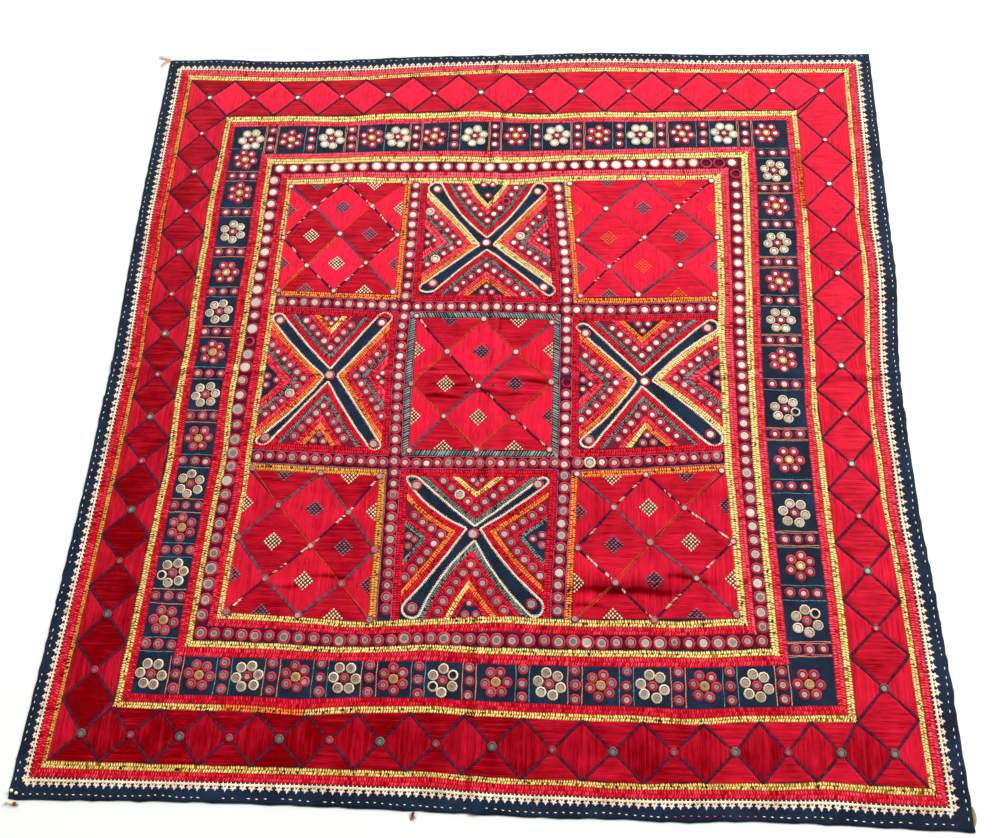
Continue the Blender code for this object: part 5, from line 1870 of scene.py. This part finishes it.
class HANGING_OT_loose_ends(HangingOperator):
    """Make the loose threads, corner knots and the sliver of lining"""

    bl_idname = "hanging.loose_ends"
    bl_label = "Loose ends"

    def execute(self, context):
        """Threads leave a knot at the back left corner and at the front edge. At the front left corner are
        three cream knots and a rust one, and at the front right one the lining's frayed edge bows out."""
        rng = np.random.default_rng(47)
        corner_u, corner_v = lay(-EDGE, EDGE)
        tuft = Pile("pink")
        for heading, length, count, spread, thick in ((153, 22, 8, 7, 0.5), (124, 16, 3, 6, 0.3),
                                                      (222, 19, 7, 10, 0.4), (196, 11, 3, 12, 0.35)):
            strands(tuft, (corner_u - 0.8, corner_v + 0.4), heading + rng.uniform(-spread, spread, count),
                    length * rng.uniform(0.75, 1.05, count), thick, rng.uniform(0.2, 1.0, count), rng)
        knot(tuft, (corner_u - 0.9, corner_v + 0.9, 1.5), 1.4, 0.3)
        tuft.make("thread_ends_back_left", replaces=["thread_tuft_back_left"])

        low, high = box_of("thread_tuft_front")
        root_u, root_v = (low[0] + high[0]) / 2, high[1] - 1.2
        tuft = Pile("rust")
        strands(tuft, (root_u, root_v), (246.0, 254.0, 262.0, 268.0, 274.0, 280.0, 288.0, 296.0),
                rng.uniform(5, 8.5, 8), 0.55, rng.uniform(0.2, 0.9, 8), rng, 0.7)
        knot(tuft, (root_u, root_v - 0.6, 1.6), 1.6, 0.4)
        tuft.make("thread_ends_front", replaces=["thread_tuft_front"])

        u, v = lay(-EDGE, -EDGE)
        knots = Pile("cream")
        knot(knots, (u + 1.5, v - 3.0, 2.4), 2.3, 0.8)
        knot(knots, (u + 3.6, v + 9.0, 3.6), 1.9, 0.85)
        knot(knots, (u + 9.5, v + 6.6, 3.6), 1.8, 0.7)
        strands(knots, (u + 1.5, v - 3.0), (-14.0, -20.0, 205.0, 222.0), np.array((8.5, 7.0, 4.5, 4.0)), 0.5,
                (0.5, 0.7, 0.8, 0.6), rng)
        knots.make("corner_knots", replaces=["corner_knots_front_left"])
        rust = Pile("rust")
        knot(rust, (u + 9.3, v - 4.4, 2.2), 2.1, 0.5)
        strands(rust, (u + 9.3, v - 4.4), (-40.0, -70.0, 20.0, -100.0, -10.0),
                np.array((3.5, 3.0, 3.4, 2.6, 4.0)), 0.4, (0.5, 0.7, 0.8, 0.6, 0.4), rng)
        rust.make("corner_knot_rust")

        low, high = box_of("lining_sliver")
        pile = Pile()
        share, wide = np.meshgrid(np.linspace(0, 1, 25), np.linspace(0, 1, 6), indexing="ij")
        bulge = np.sin(math.pi * share) ** 0.8 * (1 + 0.10 * np.sin(share * 61))
        u = low[0] - 1.0 + (1.0 + 0.62 * (high[0] - low[0]) * bulge) * (1 - wide)
        v = high[1] + (low[1] - high[1]) * share
        z = 0.5 + 0.9 * np.sin(math.pi * wide) + 0.2 * np.sin(share * 40)
        tone = 0.5 + 0.3 * np.sin(share * 33)
        pile.add(place(u, v, z), [sheets_of(1, 25, 6)[:, ::-1]], tone, np.stack([u, v], -1))
        cotton = woven_cotton("khaki_lining_cotton", linear("#8a7c48"), linear("#c4aa66"))
        sliver = pile.make("lining_edge", cotton, "khaki_lining", replaces=["lining_sliver"])
        solid = sliver.modifiers.new("cloth_thickness", "SOLIDIFY")
        solid.thickness = 0.35 * MM
        solid.offset = -1
        return {"FINISHED"}


class HANGING_OT_studio(HangingOperator):
    """Set the pale floor, soft lights and camera"""

    bl_idname = "hanging.studio"
    bl_label = "Studio"

    def execute(self, context):
        """The sky is brighter towards the back and the right. The fill light isn't seen in the mirrors."""
        scene = context.scene
        scene.view_settings.view_transform = "Standard"
        mesh = bpy.data.meshes.new("studio_floor")
        corners = ((-1, -1), (1, -1), (1, 1), (-1, 1))
        points = [(x * FLOOR_REACH, y * FLOOR_REACH, FLOOR_HEIGHT) for x, y in corners]
        mesh.from_pydata(points, [], [(0, 1, 2, 3)])
        floor = bpy.data.objects.new("studio_floor", mesh)
        scene.collection.objects.link(floor)
        pale = surfaced(new_finish("pale_floor")[0], {"Base Color": linear("#f0f2ed"), "Roughness": 0.8})
        mesh.materials.append(pale)

        world = bpy.data.worlds.new("soft_studio_light")
        scene.world = world
        world.use_nodes = True
        tree = world.node_tree
        tree.nodes.clear()
        way = add(tree, "ShaderNodeTexCoord").outputs["Generated"]
        apart = add(tree, "ShaderNodeSeparateXYZ", inputs={"Vector": way}).outputs
        lean = maths(tree, "MULTIPLY_ADD", apart["X"], 0.28, apart["Y"])
        climb = maths(tree, "POWER", ramp(tree, lean, 0.10, 0.80, kind="LINEAR"), 1.5)
        light = add(tree, "ShaderNodeBackground", inputs={
            "Color": (0.97, 0.985, 1.0, 1.0), "Strength": maths(tree, "MULTIPLY_ADD", climb, 1.82, 0.2)})
        add(tree, "ShaderNodeOutputWorld", inputs={"Surface": light.outputs["Background"]})

        for name, spot, size, power in (("key_light", (2.6, 1.2, 2.3), 1.2, 116.0),
                                        ("fill_light", (-2.4, 0.4, 2.0), 1.8, 34.0)):
            lamp = bpy.data.lights.new(name, "AREA")
            lamp.shape = "DISK"
            lamp.size = size
            lamp.energy = power
            thing = bpy.data.objects.new(name, lamp)
            thing.visible_glossy = name == "key_light"
            thing.location = spot
            thing.rotation_euler = (-Vector(spot)).to_track_quat("-Z", "Y").to_euler()
            scene.collection.objects.link(thing)

        lens = bpy.data.cameras.new("photo_view")
        lens.lens = 36.0
        lens.sensor_width = 36.0
        lens.sensor_fit = "HORIZONTAL"
        lens.clip_start, lens.clip_end = 0.05, 50.0
        camera = bpy.data.objects.new("photo_view", lens)
        tilt, yaw, roll = (math.radians(angle) for angle in CAMERA_ANGLES)
        ahead = Vector((math.sin(yaw) * math.cos(tilt), math.cos(yaw) * math.cos(tilt), -math.sin(tilt)))
        right = Vector((math.cos(yaw), -math.sin(yaw), 0.0))
        down = ahead.cross(right)
        across = math.cos(roll) * right + math.sin(roll) * down
        drop = math.cos(roll) * down - math.sin(roll) * right
        turn = Matrix((across, -drop, -ahead)).transposed()
        camera.matrix_world = Matrix.Translation(CAMERA_PLACE) @ turn.to_4x4()
        scene.collection.objects.link(camera)
        scene.camera = camera
        return {"FINISHED"}


class HANGING_PT_panel(bpy.types.Panel):
    """Sizes, dyes and pieces of the hanging"""

    bl_label = "Embroidered hanging"
    bl_idname = "HANGING_PT_panel"
    bl_space_type = "VIEW_3D"
    bl_region_type = "UI"
    bl_category = "Hanging"

    def draw(self, context):
        for group in (context.scene.hanging_sizes, context.scene.hanging_dyes):
            box = self.layout.box()
            for name in group.__annotations__:
                box.prop(group, name)
        for operator in OPERATORS:
            self.layout.operator(operator.bl_idname)


OPERATORS = (
    HANGING_OT_ground_cloth,
    HANGING_OT_border_bands,
    HANGING_OT_cream_line,
    HANGING_OT_diamond_border,
    HANGING_OT_squares,
    HANGING_OT_frames,
    HANGING_OT_stars,
    HANGING_OT_flower_bars,
    HANGING_OT_mirrors,
    HANGING_OT_loose_ends,
    HANGING_OT_studio,
)
CLASSES = (HangingSizes, HangingDyes, *OPERATORS, HANGING_PT_panel)


def register():
    """Adds the classes and the scene's two groups of properties."""
    for thing in CLASSES:
        bpy.utils.register_class(thing)
    bpy.types.Scene.hanging_sizes = bpy.props.PointerProperty(type=HangingSizes)
    bpy.types.Scene.hanging_dyes = bpy.props.PointerProperty(type=HangingDyes)


def unregister():
    """Takes them away again."""
    del bpy.types.Scene.hanging_dyes
    del bpy.types.Scene.hanging_sizes
    for thing in reversed(CLASSES):
        bpy.utils.unregister_class(thing)


def main():
    register()
    for operator in OPERATORS:
        group, name = operator.bl_idname.split(".")
        getattr(getattr(bpy.ops, group), name)()


if __name__ == "__main__":
    main()
